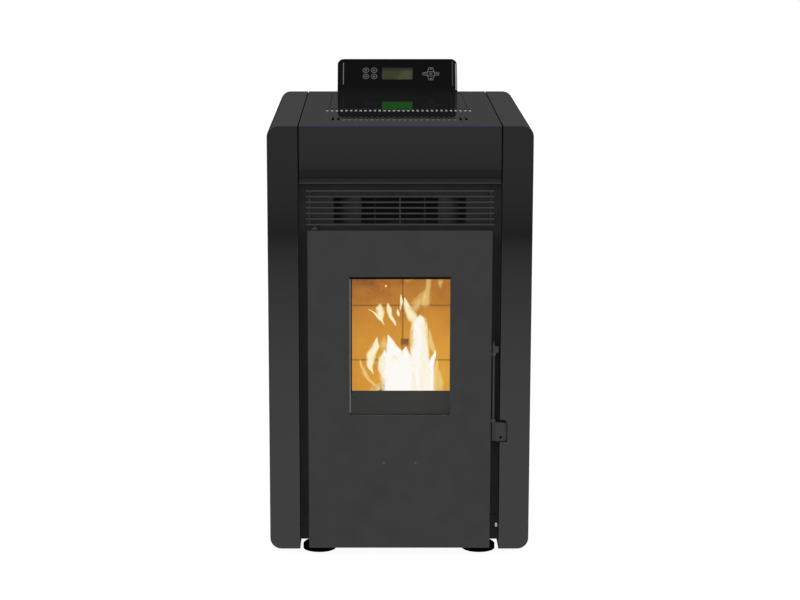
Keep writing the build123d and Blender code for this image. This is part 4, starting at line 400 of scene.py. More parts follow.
@dataclass(frozen=True)
class Casting(Finish):
    """Sand-cast iron, sooty, with a pale bloom of ash in its pores."""

    colour: Colour = (0.055, 0.048, 0.043)

    def shader(self, box: Paintbox) -> NodeSocket:
        """Makes the iron."""
        grit = box.noise(520.0, 6.0)
        ash = box.level(box.noise(60.0, 5.0), 0.0, 0.7, 0.5, 0.72)
        tone = box.blend(ash, self.colour, (0.3, 0.26, 0.22))
        rough = box.level(grit, 0.6, 0.9)
        return box.surface(Base_Color=tone, Metallic=0.3, Roughness=rough, Normal=box.bump(grit, 0.00025))


@dataclass(frozen=True)
class FireBoard(Finish):
    """Pressed lining board whose fire light is a painted glow: gold near the flames, umber far from them."""

    bricks: bool = True
    board: Colour = (0.06, 0.045, 0.03)
    glow: float = 1.05
    centre: Point = (0.06, -0.11, 0.27)
    reach: Point = (0.31, 0.3, 0.24)
    lowest_joint: float = 0.2056
    pitch: float = 0.1034
    upright: float = 0.008
    joint: float = 0.0017
    peephole: Pair = (0.012, 0.342)
    peephole_half: float = 0.0072

    def lines(self, box: Paintbox) -> NodeSocket:
        """1 in the pressed joints and in the peephole, 0 on the bricks."""
        parts = box.axes()
        rows = box.math("PINGPONG", box.math("SUBTRACT", parts[2], self.lowest_joint), self.pitch / 2)
        aside, hole_x, hole_z = (
            box.math("ABSOLUTE", box.math("SUBTRACT", parts[axis], middle))
            for axis, middle in ((0, self.upright), (0, self.peephole[0]), (2, self.peephole[1]))
        )
        joint = box.level(box.math("MINIMUM", rows, aside), 0.55, 0.0, self.joint * 0.4, self.joint * 1.5)
        far = box.math("MAXIMUM", hole_x, hole_z)
        hole = box.level(far, 0.8, 0.0, self.peephole_half * 0.9, self.peephole_half * 1.15)
        return box.math("MAXIMUM", joint, hole)

    def shader(self, box: Paintbox) -> NodeSocket:
        """Makes the board's painted glow, with grain, light and dark drifts and pits."""
        # The glow is painted firelight: brightest near the flames and falling away with distance from them.
        fall = box.near(self.centre, self.reach)
        drift = box.level(box.noise(13.0, 4.0), -0.12, 0.12, 0.25, 0.75)
        cloud = box.level(box.noise(34.0, 5.0), -0.09, 0.09, *MIDDLE)
        mottle = box.level(box.noise(420.0, 2.0), -0.06, 0.06, *MIDDLE)
        shade = box.math("ADD", box.math("ADD", fall, drift), box.math("ADD", cloud, mottle))
        tone = box.ramp(
            shade, (0.08, (0.68, 0.345, 0.033)), (0.3, (0.61, 0.27, 0.013)), (0.5, (0.55, 0.23, 0.012)),
            (0.77, (0.4, 0.142, 0.008)), (0.92, (0.2, 0.063, 0.005)), (1.06, (0.12, 0.038, 0.003)),
        )
        if self.bricks:
            tone = box.blend(self.lines(box), tone, (0.06, 0.015, 0.002))
        pits = box.level(box.cells(330.0), 0.0, 1.0, 0.0, 0.5)
        return box.surface(
            Base_Color=self.board, Roughness=0.9, Normal=box.bump(pits, 0.0003), Emission_Color=tone,
            Emission_Strength=self.glow,
        )


@dataclass(frozen=True)
class Moulding(Finish):
    """Moulded plastic or rubber with a fine spark-eroded grain."""

    colour: Colour
    roughness: float = 0.5
    grain: float = 0.00003
    grain_scale: float = 900.0
    specular: float = 0.5

    def shader(self, box: Paintbox) -> NodeSocket:
        """Makes the moulding."""
        grit = box.noise(self.grain_scale)
        wipe = box.level(box.noise(18.0, 4.0), self.roughness * 0.85, self.roughness * 1.15, *MIDDLE)
        tone = box.drift(box.noise(25.0), self.colour, 0.88, 1.12)
        relief = box.bump(grit, self.grain)
        return box.surface(Base_Color=tone, Roughness=wipe, Specular_IOR_Level=self.specular, Normal=relief)


@dataclass(frozen=True)
class Pane(Finish):
    """Heat-proof glass, clear with a breath of soot towards its edges."""

    name: str = "pane_glass"
    half: Point = (0.115, 1.0, 0.16)
    centre: Point = (0.0, -0.33, 0.39)
    tint: Colour = (0.98, 0.97, 0.95)
    soot: Colour = (0.75, 0.7, 0.64)
    index: float = 1.27

    def shader(self, box: Paintbox) -> NodeSocket:
        """Makes the glass."""
        edge = box.near(self.centre, self.half)
        haze = box.all_of(box.level(edge, 0.0, 1.0, 0.7, 1.25), box.level(box.noise(35.0, 5.0), 0.2, 1.0))
        tone = box.blend(haze, self.tint, self.soot)
        return box.surface(Base_Color=tone, Roughness=0.0, Transmission_Weight=1.0, IOR=self.index)


@dataclass(frozen=True)
class RopeYarn(Finish):
    """Knitted glass-fibre rope, grey, with painted shade in the valleys between its yarns."""

    colour: Colour = (0.16, 0.155, 0.15)
    pitch: float = 340.0

    def shader(self, box: Paintbox) -> NodeSocket:
        """Makes the yarn."""
        yarn = box.cells(self.pitch, at=box.stretched((1.0, 1.0, 0.55)))
        fuzz = box.noise(1600.0)
        # Painted shade: the valleys between the yarns are darkened.
        tone = box.blend(box.level(yarn, 0.0, 0.8, 0.1, 0.6), self.colour, shaded(self.colour, 0.25))
        relief = box.bump(fuzz, 0.00008, box.bump(yarn, -0.0005))
        return box.surface(Base_Color=tone, Roughness=0.95, Sheen_Weight=0.25, Normal=relief)


@dataclass(frozen=True)
class FlameLight(Finish):
    """Burning gas: white-hot low and deep inside, gold and thin towards its edge and tip."""

    foot: float
    tip: float
    heart: Colour = (1.0, 0.985, 0.965)
    middle: Colour = (0.98, 0.89, 0.6)
    rim: Colour = (0.93, 0.7, 0.24)
    cooling: float = 0.45
    soft: Pair = (0.15, 0.8)
    wisp: float = 0.16
    density: float = 1.0

    def shader(self, box: Paintbox) -> NodeSocket:
        """Makes the flame's light, which gives way to what is behind it at the rim."""
        height = box.span(2, self.foot, self.tip)
        smoke = box.noise(55.0, 3.0, box.stretched((1.0, 1.0, 0.35)), 1.5)
        wisps = box.level(smoke, -self.wisp, self.wisp, *MIDDLE)
        edge = box.math("ADD", box.facing(), wisps)
        body = box.level(edge, 1.0, 0.0, *self.soft)
        thin = box.level(height, 1.0, 0.7, 0.35, 1.0)
        front = box.math("SUBTRACT", 1.0, box.node("ShaderNodeNewGeometry").outputs["Backfacing"])
        share = box.all_of(body, thin, box.all_of(front, self.density))
        cool = box.math("ADD", box.all_of(height, self.cooling), box.all_of(edge, 0.8))
        tone = box.ramp(cool, (0.28, self.heart), (0.62, self.middle), (0.95, self.rim))
        return box.mix(share, box.node("ShaderNodeBsdfTransparent").outputs[0], box.glow(tone, 1.0))


@dataclass(frozen=True)
class EmberCoal(Finish):
    """Pellets alight: orange cracks under a skin of grey ash."""

    name: str = "ember_coal"
    strength: float = 2.2

    def shader(self, box: Paintbox) -> NodeSocket:
        """Makes the embers."""
        crack = box.noise(240.0, 5.0, distortion=1.0)
        heat = box.level(crack, 0.0, 1.0, 0.42, 0.62)
        skin = box.blend(box.noise(500.0), (0.2, 0.18, 0.16), (0.45, 0.42, 0.38))
        fire = box.ramp(heat, (0.0, grey(0.0)), (0.4, (0.9, 0.12, 0.01)), (1.0, (1.0, 0.55, 0.12)))
        return box.surface(
            Base_Color=skin, Roughness=0.95, Emission_Color=fire, Emission_Strength=self.strength,
            Normal=box.bump(crack, 0.0004),
        )


@dataclass(frozen=True)
class PressedWood(Finish):
    """Pressed sawdust of the pellets: pale tan, each a little different, with darker burnish."""

    name: str = "pressed_wood"
    pale: Colour = (0.62, 0.42, 0.24)
    dark: Colour = (0.34, 0.2, 0.1)

    def shader(self, box: Paintbox) -> NodeSocket:
        """Makes the wood."""
        fibre = box.noise(900.0, 4.0)
        tone = box.blend(box.all_of(box.math("ADD", box.crystals(70.0), fibre), 0.5), self.dark, self.pale)
        wear = box.level(fibre, 0.45, 0.75)
        return box.surface(Base_Color=tone, Roughness=wear, Normal=box.bump(fibre, 0.00015))


@dataclass(frozen=True)
class AshDust(Finish):
    """Fine wood ash with a few charred crumbs."""

    name: str = "ash_dust"

    def shader(self, box: Paintbox) -> NodeSocket:
        """Makes the ash."""
        grit = box.noise(300.0, 6.0)
        crumbs = box.level(box.cells(120.0), 1.0, 0.0, 0.08, 0.16)
        tone = box.blend(grit, (0.3, 0.29, 0.28), (0.5, 0.48, 0.46))
        tone = box.blend(crumbs, tone, (0.03, 0.025, 0.02))
        return box.surface(Base_Color=tone, Roughness=1.0, Normal=box.bump(grit, 0.0006))


@dataclass(frozen=True)
class LcdGlass(Finish):
    """Liquid-crystal screen: olive, darker in its left half, with a pale painted glare, a grey upper rim that is
    painted shade under the bezel and a grey right edge.
    """

    low: Point
    high: Point
    dark: Colour = (0.0365, 0.042, 0.0095)
    light: Colour = (0.061, 0.071, 0.03)
    rim: Colour = (0.013, 0.0135, 0.011)
    oblique: Colour = (0.03, 1.25, 0.03)
    pixels: float = 900.0
    pixel_edge: Colour = (0.01, 0.012, 0.005)

    def shader(self, box: Paintbox) -> NodeSocket:
        """Makes the screen with its drift of colour when it is seen from below."""
        across = box.span(0, self.low[0], self.high[0])
        up = box.span(2, self.low[2], self.high[2])
        lean = box.math("ADD", across, box.all_of(up, -0.28))
        tone = box.blend(box.level(lean, 0.0, 1.0, 0.36, 0.46), self.dark, self.light)
        # Painted shade: the bezel's shadow greys the screen's upper rim; its right edge takes the same grey.
        top = box.level(up, 0.0, 0.95, 0.72, 0.9)
        side = box.level(across, 0.0, 0.6, 0.93, 0.98)
        tone = box.blend(box.math("MAXIMUM", top, side), tone, self.rim)
        tone = box.blend(box.level(box.cells(self.pixels), 0.0, 0.12), tone, self.pixel_edge)
        fading = shaded(self.oblique, 0.2)
        turned = box.ramp(box.facing(), (0.2, grey(0.0)), (0.245, self.oblique), (0.38, fading))
        light = box.blend(box.level(up, 0.0, 1.0, 0.3, 0.42), grey(0.0), turned)
        return box.surface(
            Base_Color=tone, Roughness=0.35, Specular_IOR_Level=0.2, Emission_Color=light,
            Emission_Strength=1.0,
        )


@dataclass(frozen=True)
class SolderMask(Finish):
    """Printed circuit board: green mask over copper tracks."""

    name: str = "solder_mask"

    def shader(self, box: Paintbox) -> NodeSocket:
        """Makes the board."""
        tracks = box.node("ShaderNodeTexBrick", {
            "Vector": box.stretched((0.0, 130.0, 130.0)), "Scale": 1.0, "Mortar Size": 0.12,
            "Color1": (0.01, 0.11, 0.045), "Color2": (0.015, 0.14, 0.055), "Mortar": (0.03, 0.24, 0.09),
        }).outputs["Color"]
        return box.surface(Base_Color=tracks, Roughness=0.3, Normal=box.bump(box.noise(400.0), 0.00003))


# --- mesh helpers


def add_object(name: str, data: ID) -> Object:
    """Puts a new object with its data into the scene."""
    made = bpy.data.objects.new(name, data)
    bpy.context.scene.collection.objects.link(made)
    return made


def to_data(name: str, mesh: BMesh) -> Mesh:
    """Turns a bmesh into mesh data and frees it."""
    data = bpy.data.meshes.new(name)
    mesh.to_mesh(data)
    mesh.free()
    return data


def picked(geom: list, kind: type) -> list:
    """The items of one kind among those that an operator made."""
    return [item for item in geom if isinstance(item, kind)]


def aimed(along: Vector) -> Matrix:
    """A turn that brings +Z to a direction."""
    return along.to_track_quat("Z", "Y").to_matrix().to_4x4()


def dress(node: str, material: Material) -> None:
    """Puts a material on a CAD node."""
    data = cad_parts[node].data
    data.materials.clear()
    data.materials.append(material)


def finish_piece(name: str, mesh: BMesh, finish: Finish, body: Body, smooth: float = 40.0) -> Object:
    """Turns a bmesh into a piece that rides on a body.

    Args:
        name: the piece's name.
        mesh: its shape, in place; it is freed.
        finish: its finish.
        body: the CAD body that it moves with.
        smooth: angle in degrees below which an edge is shaded smooth.

    Returns:
        The new object.
    """
    bmesh.ops.remove_doubles(mesh, verts=mesh.verts, dist=0.01 * MM)
    bmesh.ops.recalc_face_normals(mesh, faces=mesh.faces)
    for face in mesh.faces:
        face.smooth = True
    for edge in mesh.edges:
        edge.smooth = len(edge.link_faces) < 2 or edge.calc_face_angle(0.0) < math.radians(smooth)
    data = to_data(name, mesh)
    data.materials.append(finish.material())
    piece = add_object(name, data)
    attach(piece, body.value)
    LOG.info("%s: %d faces on %s", name, len(data.polygons), body.value)
    return piece


def sweep(mesh: BMesh, stations: list[Matrix], segments: int, lobes: int = 0, closed: bool = False) -> None:
    """Draws a circle through stations, each a matrix whose scale is the local radius.

    Args:
        mesh: where the tube goes.
        stations: place, direction and radius of each ring.
        segments: sides of the tube.
        lobes: 0 for a round tube, or how many strands show round its outline.
        closed: True joins the last ring to the first, False caps both ends.
    """
    start = stations[0]
    verts = bmesh.ops.create_circle(mesh, cap_ends=False, segments=segments, radius=1.0, matrix=start)["verts"]
    if lobes:
        inverse = start.inverted()
        for vert in verts:
            local = inverse @ vert.co
            vert.co = start @ (local * (0.9 + 0.1 * math.cos(lobes * math.atan2(local.y, local.x))))
    first = ring = list({edge for vert in verts for edge in vert.link_edges})
    for before, after in zip(stations, stations[1:]):
        grown = bmesh.ops.extrude_edge_only(mesh, edges=ring)["geom"]
        ring = picked(grown, BMEdge)
        bmesh.ops.transform(mesh, matrix=after @ before.inverted(), verts=picked(grown, BMVert))
    if closed:
        bmesh.ops.bridge_loops(mesh, edges=first + ring)
    else:
        bmesh.ops.holes_fill(mesh, edges=first + ring, sides=segments)


def station(at: Vector, along: Vector, radius: float, twist: float = 0.0) -> Matrix:
    """The matrix of a ring for sweep().

    Args:
        at: centre of the ring.
        along: direction of the tube there.
        radius: radius of the ring.
        twist: turn about the tube's own axis, in radians.
    """
    turn = aimed(along) @ Matrix.Rotation(twist, 4, "Z")
    return Matrix.Translation(at) @ turn @ Matrix.Diagonal((radius, radius, radius, 1.0))


def pellet(mesh: BMesh, at: Vector, rng: random.Random, rise: float, lengths: Pair) -> None:
    """One wood pellet: a short rod with worn ends.

    Args:
        mesh: where it goes.
        at: its middle.
        rng: draws its direction and its length.
        rise: how steep it may lie.
        lengths: shortest and longest length in millimetres.
    """
    along = Vector((rng.uniform(-1, 1), rng.uniform(-1, 1), rng.uniform(-rise, rise))).normalized()
    radius, length = 3 * MM, rng.uniform(*lengths) * MM
    made = bmesh.ops.create_cone(
        mesh, cap_ends=True, segments=8, radius1=radius, radius2=radius, depth=length,
        matrix=Matrix.Translation(at) @ aimed(along),
    )
    caps = {edge for vert in made["verts"] for edge in vert.link_edges
            if any(len(face.verts) == 8 for face in edge.link_faces)}
    bmesh.ops.bevel(mesh, geom=list(caps), offset=radius * 0.25, offset_type="OFFSET", segments=1,
                    profile=0.5, affect="EDGES", material=-1)


# --- fire


@dataclass(frozen=True)
class Lick:
    """One tongue of flame: where its middle line runs, as (x, z, half width) in millimetres."""

    line: list[Point]
    shift: float = 0.0
    thick: float = 1.3

    def at(self, place: float) -> Vector:
        """Middle line and half width at a place along the line, as one smooth curve through its points."""
        low = min(int(place), len(self.line) - 2)
        t = place - low
        last = len(self.line) - 1
        a, b, c, d = (Vector(self.line[min(max(i, 0), last)]) for i in range(low - 1, low + 3))
        bend, twist = 2 * a - 5 * b + 4 * c - d, 3 * b - a - 3 * c + d
        return 0.5 * (2 * b + (c - a) * t + bend * t ** 2 + twist * t ** 3)


@dataclass(frozen=True)
class Blaze:
    """Tongues that burn with one light, as one piece."""

    name: str
    light: FlameLight
    licks: tuple[Lick, ...]


BLAZES = (
    Blaze("flame_core", FlameLight("flame_core_light", 0.27, 0.46, wisp=0.2, density=1.4), (
        Lick([(14, 250, 40), (12, 298, 42), (9, 317, 44), (-3, 336, 30), (-5, 346, 17), (-11, 355, 10.5),
              (-16, 366, 6), (-20, 378, 0.5)], thick=0.8),
        Lick([(36, 250, 21), (37, 300, 19), (37.5, 336, 17), (37, 355, 16.5), (36.5, 375, 15.5),
              (36.6, 394, 14.5), (37.2, 404, 13), (38.5, 412, 8.5), (38, 417, 0.6)], -6, 1.1),
        Lick([(56, 250, 8.5), (56.5, 300, 8), (57, 317, 6.5), (61, 330, 5), (64.5, 340, 3), (65.5, 349, 0.4)], 4),
        Lick([(-25, 296, 4), (-26, 312, 9), (-26, 328, 11), (-24, 340, 9), (-27, 350, 0.6)], 5),
        Lick([(14, 330, 11), (12, 344, 8), (12, 352, 5), (12, 359, 0.5)], -10),
    )),
    Blaze("flame_veil", FlameLight(
        "flame_veil_light", 0.2, 0.5, (0.97, 0.9, 0.62), (0.94, 0.8, 0.38), (0.88, 0.6, 0.14),
        cooling=0.3, soft=(0.12, 0.8), wisp=0.07, density=1.4,
    ), (
        Lick([(-47, 303, 0.4), (-48.5, 309, 2.2), (-52, 318, 5), (-52, 327, 7.6), (-51, 336, 8.8),
              (-48.5, 346, 9), (-43.5, 356, 7.8), (-41, 364, 4), (-39, 374, 0.4)], 2),
        Lick([(-27, 396, 0.4), (-31.4, 406.8, 3.4), (-33, 414.4, 6.4), (-34.2, 422, 8), (-34.6, 429.6, 7),
              (-34.2, 437, 0.8)], -4),
        Lick([(-32, 403, 0.4), (-36, 409, 2.6), (-42, 416, 3.2), (-48, 422, 2.4), (-56, 427, 0.4)], -2),
        Lick([(-5, 394, 0.4), (-9, 401, 3), (-13.8, 408.7, 4.3), (-16.6, 418.2, 4.5), (-18.9, 427.7, 4.6),
              (-20, 436, 0.6)], 3),
        Lick([(-1, 411, 0.4), (-1.6, 417, 2.9), (-1.8, 425, 0.4)], 3),
        Lick([(28, 396, 2), (25, 406, 9.5), (21.8, 416.3, 10.5), (17.4, 425.8, 8.6), (14, 435.3, 5.4),
              (9.5, 448, 0.4)], -3),
        Lick([(2.6, 422, 0.4), (3.8, 431.5, 2.6), (3.7, 441, 3), (4.2, 452, 0.4)], 5),
    )),
    Blaze("flame_haze", FlameLight(
        "flame_haze_light", 0.2, 0.5, (0.88, 0.66, 0.24), (0.84, 0.55, 0.12), (0.76, 0.42, 0.06),
        cooling=0.2, soft=(0.0, 0.75), wisp=0.2, density=0.8,
    ), (
        Lick([(-35, 275, 0.8), (-44, 283, 3.8), (-53, 292.7, 4.6), (-61.5, 304, 4.8), (-67, 317, 4),
              (-70, 332, 0.4)], 8),
        Lick([(50.5, 422, 1), (47.7, 431.5, 9), (47.3, 439, 10.5), (49, 447, 8.5), (52.4, 458, 6),
              (52.8, 469.5, 5), (52.4, 484, 5.5), (53, 500, 6)], 10),
        Lick([(75.5, 462, 0.4), (74.6, 471, 4), (75, 477, 6), (77.3, 484, 10), (79, 496, 12)], 8),
        Lick([(15, 471, 0.4), (17, 477, 8), (19, 483, 13), (21, 496, 15)], 14),
        Lick([(66, 340, 1), (61, 350, 6), (58, 362, 6.5), (56, 374, 4), (55, 386, 0.4)], 12),
        Lick([(75, 252, 8), (76, 274, 8.5), (75.5, 285, 7), (74.6, 298, 4.6), (74.6, 312, 0.4)], 6),
        Lick([(-30, 342, 1), (-28, 352, 7), (-27, 362, 7), (-26, 374, 0.6)], 12),
        Lick([(-52, 266, 6), (-46, 274, 12), (-38, 281, 10), (-32, 288, 1)], 10),
        Lick([(28, 412, 1), (30, 424, 9), (34, 434, 12), (40, 446, 10), (46, 458, 1)], 16),
        Lick([(62, 262, 8), (66, 290, 7), (68, 312, 5), (70, 330, 0.6)], 16),
    )),
    Blaze("flame_shade", FlameLight(
        "flame_shade_light", 0.2, 0.5, (0.96, 0.84, 0.56), (0.95, 0.82, 0.5), (0.93, 0.76, 0.4),
        cooling=0.1, soft=(0.0, 0.75), wisp=0.22, density=0.55,
    ), (
        Lick([(44, 262, 10), (44, 300, 9), (44.5, 330, 8.5), (44.5, 358, 7), (44, 384, 6), (42.5, 404, 5),
              (41, 414, 0.5)], -34),
        Lick([(30, 264, 9), (28, 284, 6), (26, 304, 4), (23, 326, 0.5)], -52, 0.8),
        Lick([(-31, 300, 3), (-31, 316, 5), (-30, 332, 5.5), (-27, 346, 0.5)], -30),
    )),
)


@dataclass
class Fire:
    """The flames over the burn pot, the glowing pellets in it, the spark and the ash in the pan."""

    depth: float = -210.0
    segments: int = 28
    steps: int = 5
    swell: float = 1.12
    sway: Pair = (0.6, 2.0)
    layers: int = 3
    per_layer: int = 34
    heaps: int = 9
    spark: Point = (-23.8, -216.0, 469.0)

    def flames(self, blaze: Blaze) -> None:
        """Sweeps each lick's outline up its middle line."""
        mesh = bmesh.new()
        for number, lick in enumerate(blaze.licks):
            rings = []
            for step in range((len(lick.line) - 1) * self.steps + 1):
                place = step / self.steps
                x, z, half = lick.at(place)
                x += math.sin(place * 2.3 + number * 1.7) * self.sway[0]
                y = self.depth + lick.shift + math.cos(place * 1.9 + number) * self.sway[1]
                radius = max(half * self.swell, 0.3) * MM
                ring = station(Vector((x, y, z)) * MM, Vector((0.0, 0.0, 1.0)), radius, math.pi / 2)
                rings.append(ring @ Matrix.Diagonal((lick.thick, 1.0, 1.0, 1.0)))
            sweep(mesh, rings, self.segments)
        piece = finish_piece(blaze.name, mesh, blaze.light, Body.POT, 180.0)
        piece.visible_diffuse = False
        piece.visible_shadow = False

    def embers(self) -> None:
        """A heap of glowing pellets that fills the burn pot."""
        rng = random.Random(7)
        low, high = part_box("burn_pot")
        middle = (low + high) / 2
        mesh = bmesh.new()
        for layer in range(self.layers):
            for _ in range(self.per_layer):
                at = Vector((
                    middle.x + rng.uniform(-0.02, 0.02), middle.y + rng.uniform(-0.018, 0.018),
                    high.z - (19 - layer * 5.5) * MM,
                ))
                pellet(mesh, at, rng, 0.25, (8, 13))
        finish_piece("burning_pellets", mesh, EmberCoal(), Body.POT)

    def ash_bed(self) -> None:
        """A low, uneven bed of ash in the pan."""
        low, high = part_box("ash_pan")
        size = high - low
        mesh = bmesh.new()
        bmesh.ops.create_grid(mesh, x_segments=40, y_segments=32, size=0.5)
        rng = random.Random(3)
        heaps = [
            (rng.uniform(-0.3, 0.3), rng.uniform(-0.3, 0.3), rng.uniform(0.08, 0.2)) for _ in range(self.heaps)
        ]
        for vert in mesh.verts:
            height = sum(math.exp(-((vert.co.x - x) ** 2 + (vert.co.y - y) ** 2) / w ** 2) for x, y, w in heaps)
            vert.co.z = 9 * MM + 5 * MM * height
        floor = bmesh.ops.extrude_face_region(mesh, geom=mesh.faces[:])["geom"]
        for vert in picked(floor, BMVert):
            vert.co.z = 0.0
        place = Matrix.Translation(((low.x + high.x) / 2, (low.y + high.y) / 2 + 4 * MM, low.z + 1.6 * MM))
        shrink = Matrix.Diagonal((size.x - 5 * MM, size.y - 14 * MM, 1.0, 1.0))
        bmesh.ops.transform(mesh, matrix=place @ shrink, verts=mesh.verts)
        finish_piece("ash_bed", mesh, AshDust(), Body.CASING)

    def flying_spark(self) -> None:
        """A spark carried up by the fire's draught."""
        mesh = bmesh.new()
        bmesh.ops.create_icosphere(
            mesh, subdivisions=2, radius=2.1 * MM, matrix=Matrix.Translation(Vector(self.spark) * MM)
        )
        light = FlameLight(
            "spark_light", 0.4, 0.6, (0.97, 0.8, 0.36), (0.95, 0.7, 0.2), soft=(0.3, 0.9), density=1.3
        )
        finish_piece("spark", mesh, light, Body.POT)

    def lamp(self) -> None:
        """Stands for the fire's light on the firebox."""
        data = bpy.data.lights.new("fire_light", "POINT")
        data.energy = 0.12
        data.color = (1.0, 0.6, 0.25)
        data.shadow_soft_size = 0.03
        holder = add_object("fire_light", data)
        holder.location = (0.01, -0.215, 0.33)
        holder.visible_glossy = False
        holder.visible_transmission = False

    def build(self) -> None:
        """Makes the whole fire."""
        for blaze in BLAZES:
            self.flames(blaze)
        self.embers()
        self.ash_bed()
        self.flying_spark()
        self.lamp()


# --- hopper


@dataclass
class PelletStore:
    """Wood pellets in the hopper, heaped under the guard grate."""

    half_width: float = 0.115
    front: float = -0.0485
    back: float = 0.1815
    level: float = 0.700
    knee: float = 0.661
    outlet: float = 0.480
    outlet_y: float = 0.1138
    outlet_half: float = 0.029
    count: int = 620

    def bed(self) -> None:
        """The heap's body, which fills the hopper down to its outlet."""
        mesh = bmesh.new()
        bmesh.ops.create_grid(mesh, x_segments=46, y_segments=46, size=0.5)
        for vert in mesh.verts:
            vert.co.z = self.dome(vert.co.x, vert.co.y)
        depth, middle = self.back - self.front, (self.front + self.back) / 2
        spread = Matrix.Translation((0.0, middle, 0.0)) @ Matrix.Diagonal((2 * self.half_width, depth, 1.0, 1.0))
        bmesh.ops.transform(mesh, matrix=spread, verts=mesh.verts)
        rim = [edge for edge in mesh.edges if edge.is_boundary]
        for height in (self.knee, self.outlet):
            grown = bmesh.ops.extrude_edge_only(mesh, edges=rim)["geom"]
            rim = picked(grown, BMEdge)
            for vert in picked(grown, BMVert):
                vert.co.z = height
                if height == self.outlet:
                    vert.co.x *= self.outlet_half / self.half_width
                    vert.co.y = self.outlet_y + (vert.co.y - middle) * 2 * self.outlet_half / depth
        bmesh.ops.contextual_create(mesh, geom=rim)
        finish_piece("pellet_bed", mesh, PressedWood("pellet_mass"), Body.CASING)

    def dome(self, x: float, y: float) -> float:
        """Height of the heap at a place given from -0.5 to 0.5 across and along."""
        return self.level - 16 * MM + 16 * MM * math.cos(x * 2.6) * math.cos((y - 0.05) * 2.4)

    def loose(self) -> None:
        """The pellets that lie on top of the heap."""
        rng = random.Random(11)
        mesh = bmesh.new()
        middle = (self.front + self.back) / 2
        for _ in range(self.count):
            x, y = rng.uniform(-0.45, 0.45), rng.uniform(-0.45, 0.45)
            at = Vector((
                x * 2 * self.half_width, middle + y * (self.back - self.front),
                self.dome(x, y) + rng.uniform(0.5, 4.0) * MM,
            ))
            pellet(mesh, at, rng, 0.3, (9, 19))
        finish_piece("loose_pellets", mesh, PressedWood("pellet_wood"), Body.CASING)

    def build(self) -> None:
        """Makes the heap and its loose pellets."""
        self.bed()
        self.loose()


# --- gaskets and screws


@dataclass
class RopeGasket:
    """Knitted rope that seals the fire door, as one closed ring on the door's inner frame."""

    node: str = "door_gasket"
    corner: float = 10.0 * MM
    step: float = 4.0 * MM
    lobes: int = 6
    turns_per_metre: float = 42.0

    def run(self, start: Vector, end: Vector, along: Vector) -> list[tuple[Vector, Vector]]:
        """Points with their direction on a straight run, without its end."""
        count = max(1, round((end - start).length / self.step))
        return [(start.lerp(end, i / count), along) for i in range(count)]

    def path(self, radius: float) -> list[tuple[Vector, Vector]]:
        """Points and directions round the ring, from the middle of its lower run."""
        low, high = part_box(self.node)
        right, foot, top = high.x - radius, low.z + radius, high.z - radius
        y = (low.y + high.y) / 2
        found = []
        first = start = Vector((0.0, y, foot))
        for x, z, angle in ((right, foot, 0), (right, top, 90), (-right, top, 180), (-right, foot, 270)):
            along = Vector((math.cos(math.radians(angle)), 0.0, math.sin(math.radians(angle))))
            inward = Vector((-along.z, 0.0, along.x))
            end = Vector((x, y, z)) - along * self.corner
            found += self.run(start, end, along)
            pivot = end + inward * self.corner
            for turn in (0.0, math.pi / 8, math.pi / 4, 3 * math.pi / 8):
                heading = along * math.cos(turn) + inward * math.sin(turn)
                out = along * math.sin(turn) - inward * math.cos(turn)
                found.append((pivot + out * self.corner, heading))
            start = pivot + along * self.corner
        return found + self.run(start, first, Vector((1.0, 0.0, 0.0)))

    def build(self) -> None:
        """Sweeps the lobed rope round the ring."""
        low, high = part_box(self.node)
        radius = (high.y - low.y) / 2
        path = self.path(radius)
        total = sum((b[0] - a[0]).length for a, b in zip(path, path[1:] + path[:1]))
        turns = round(self.turns_per_metre * total * self.lobes) / self.lobes
        done = 0.0
        rings = []
        for i, (at, along) in enumerate(path):
            if i:
                done += (at - path[i - 1][0]).length
            rings.append(station(at, along, radius, 2 * math.pi * turns * done / total))
        mesh = bmesh.new()
        sweep(mesh, rings, 4 * self.lobes, self.lobes, closed=True)
        piece = finish_piece("rope_gasket", mesh, RopeYarn("door_rope"), Body.DOOR, 60.0)
        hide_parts(self.node)


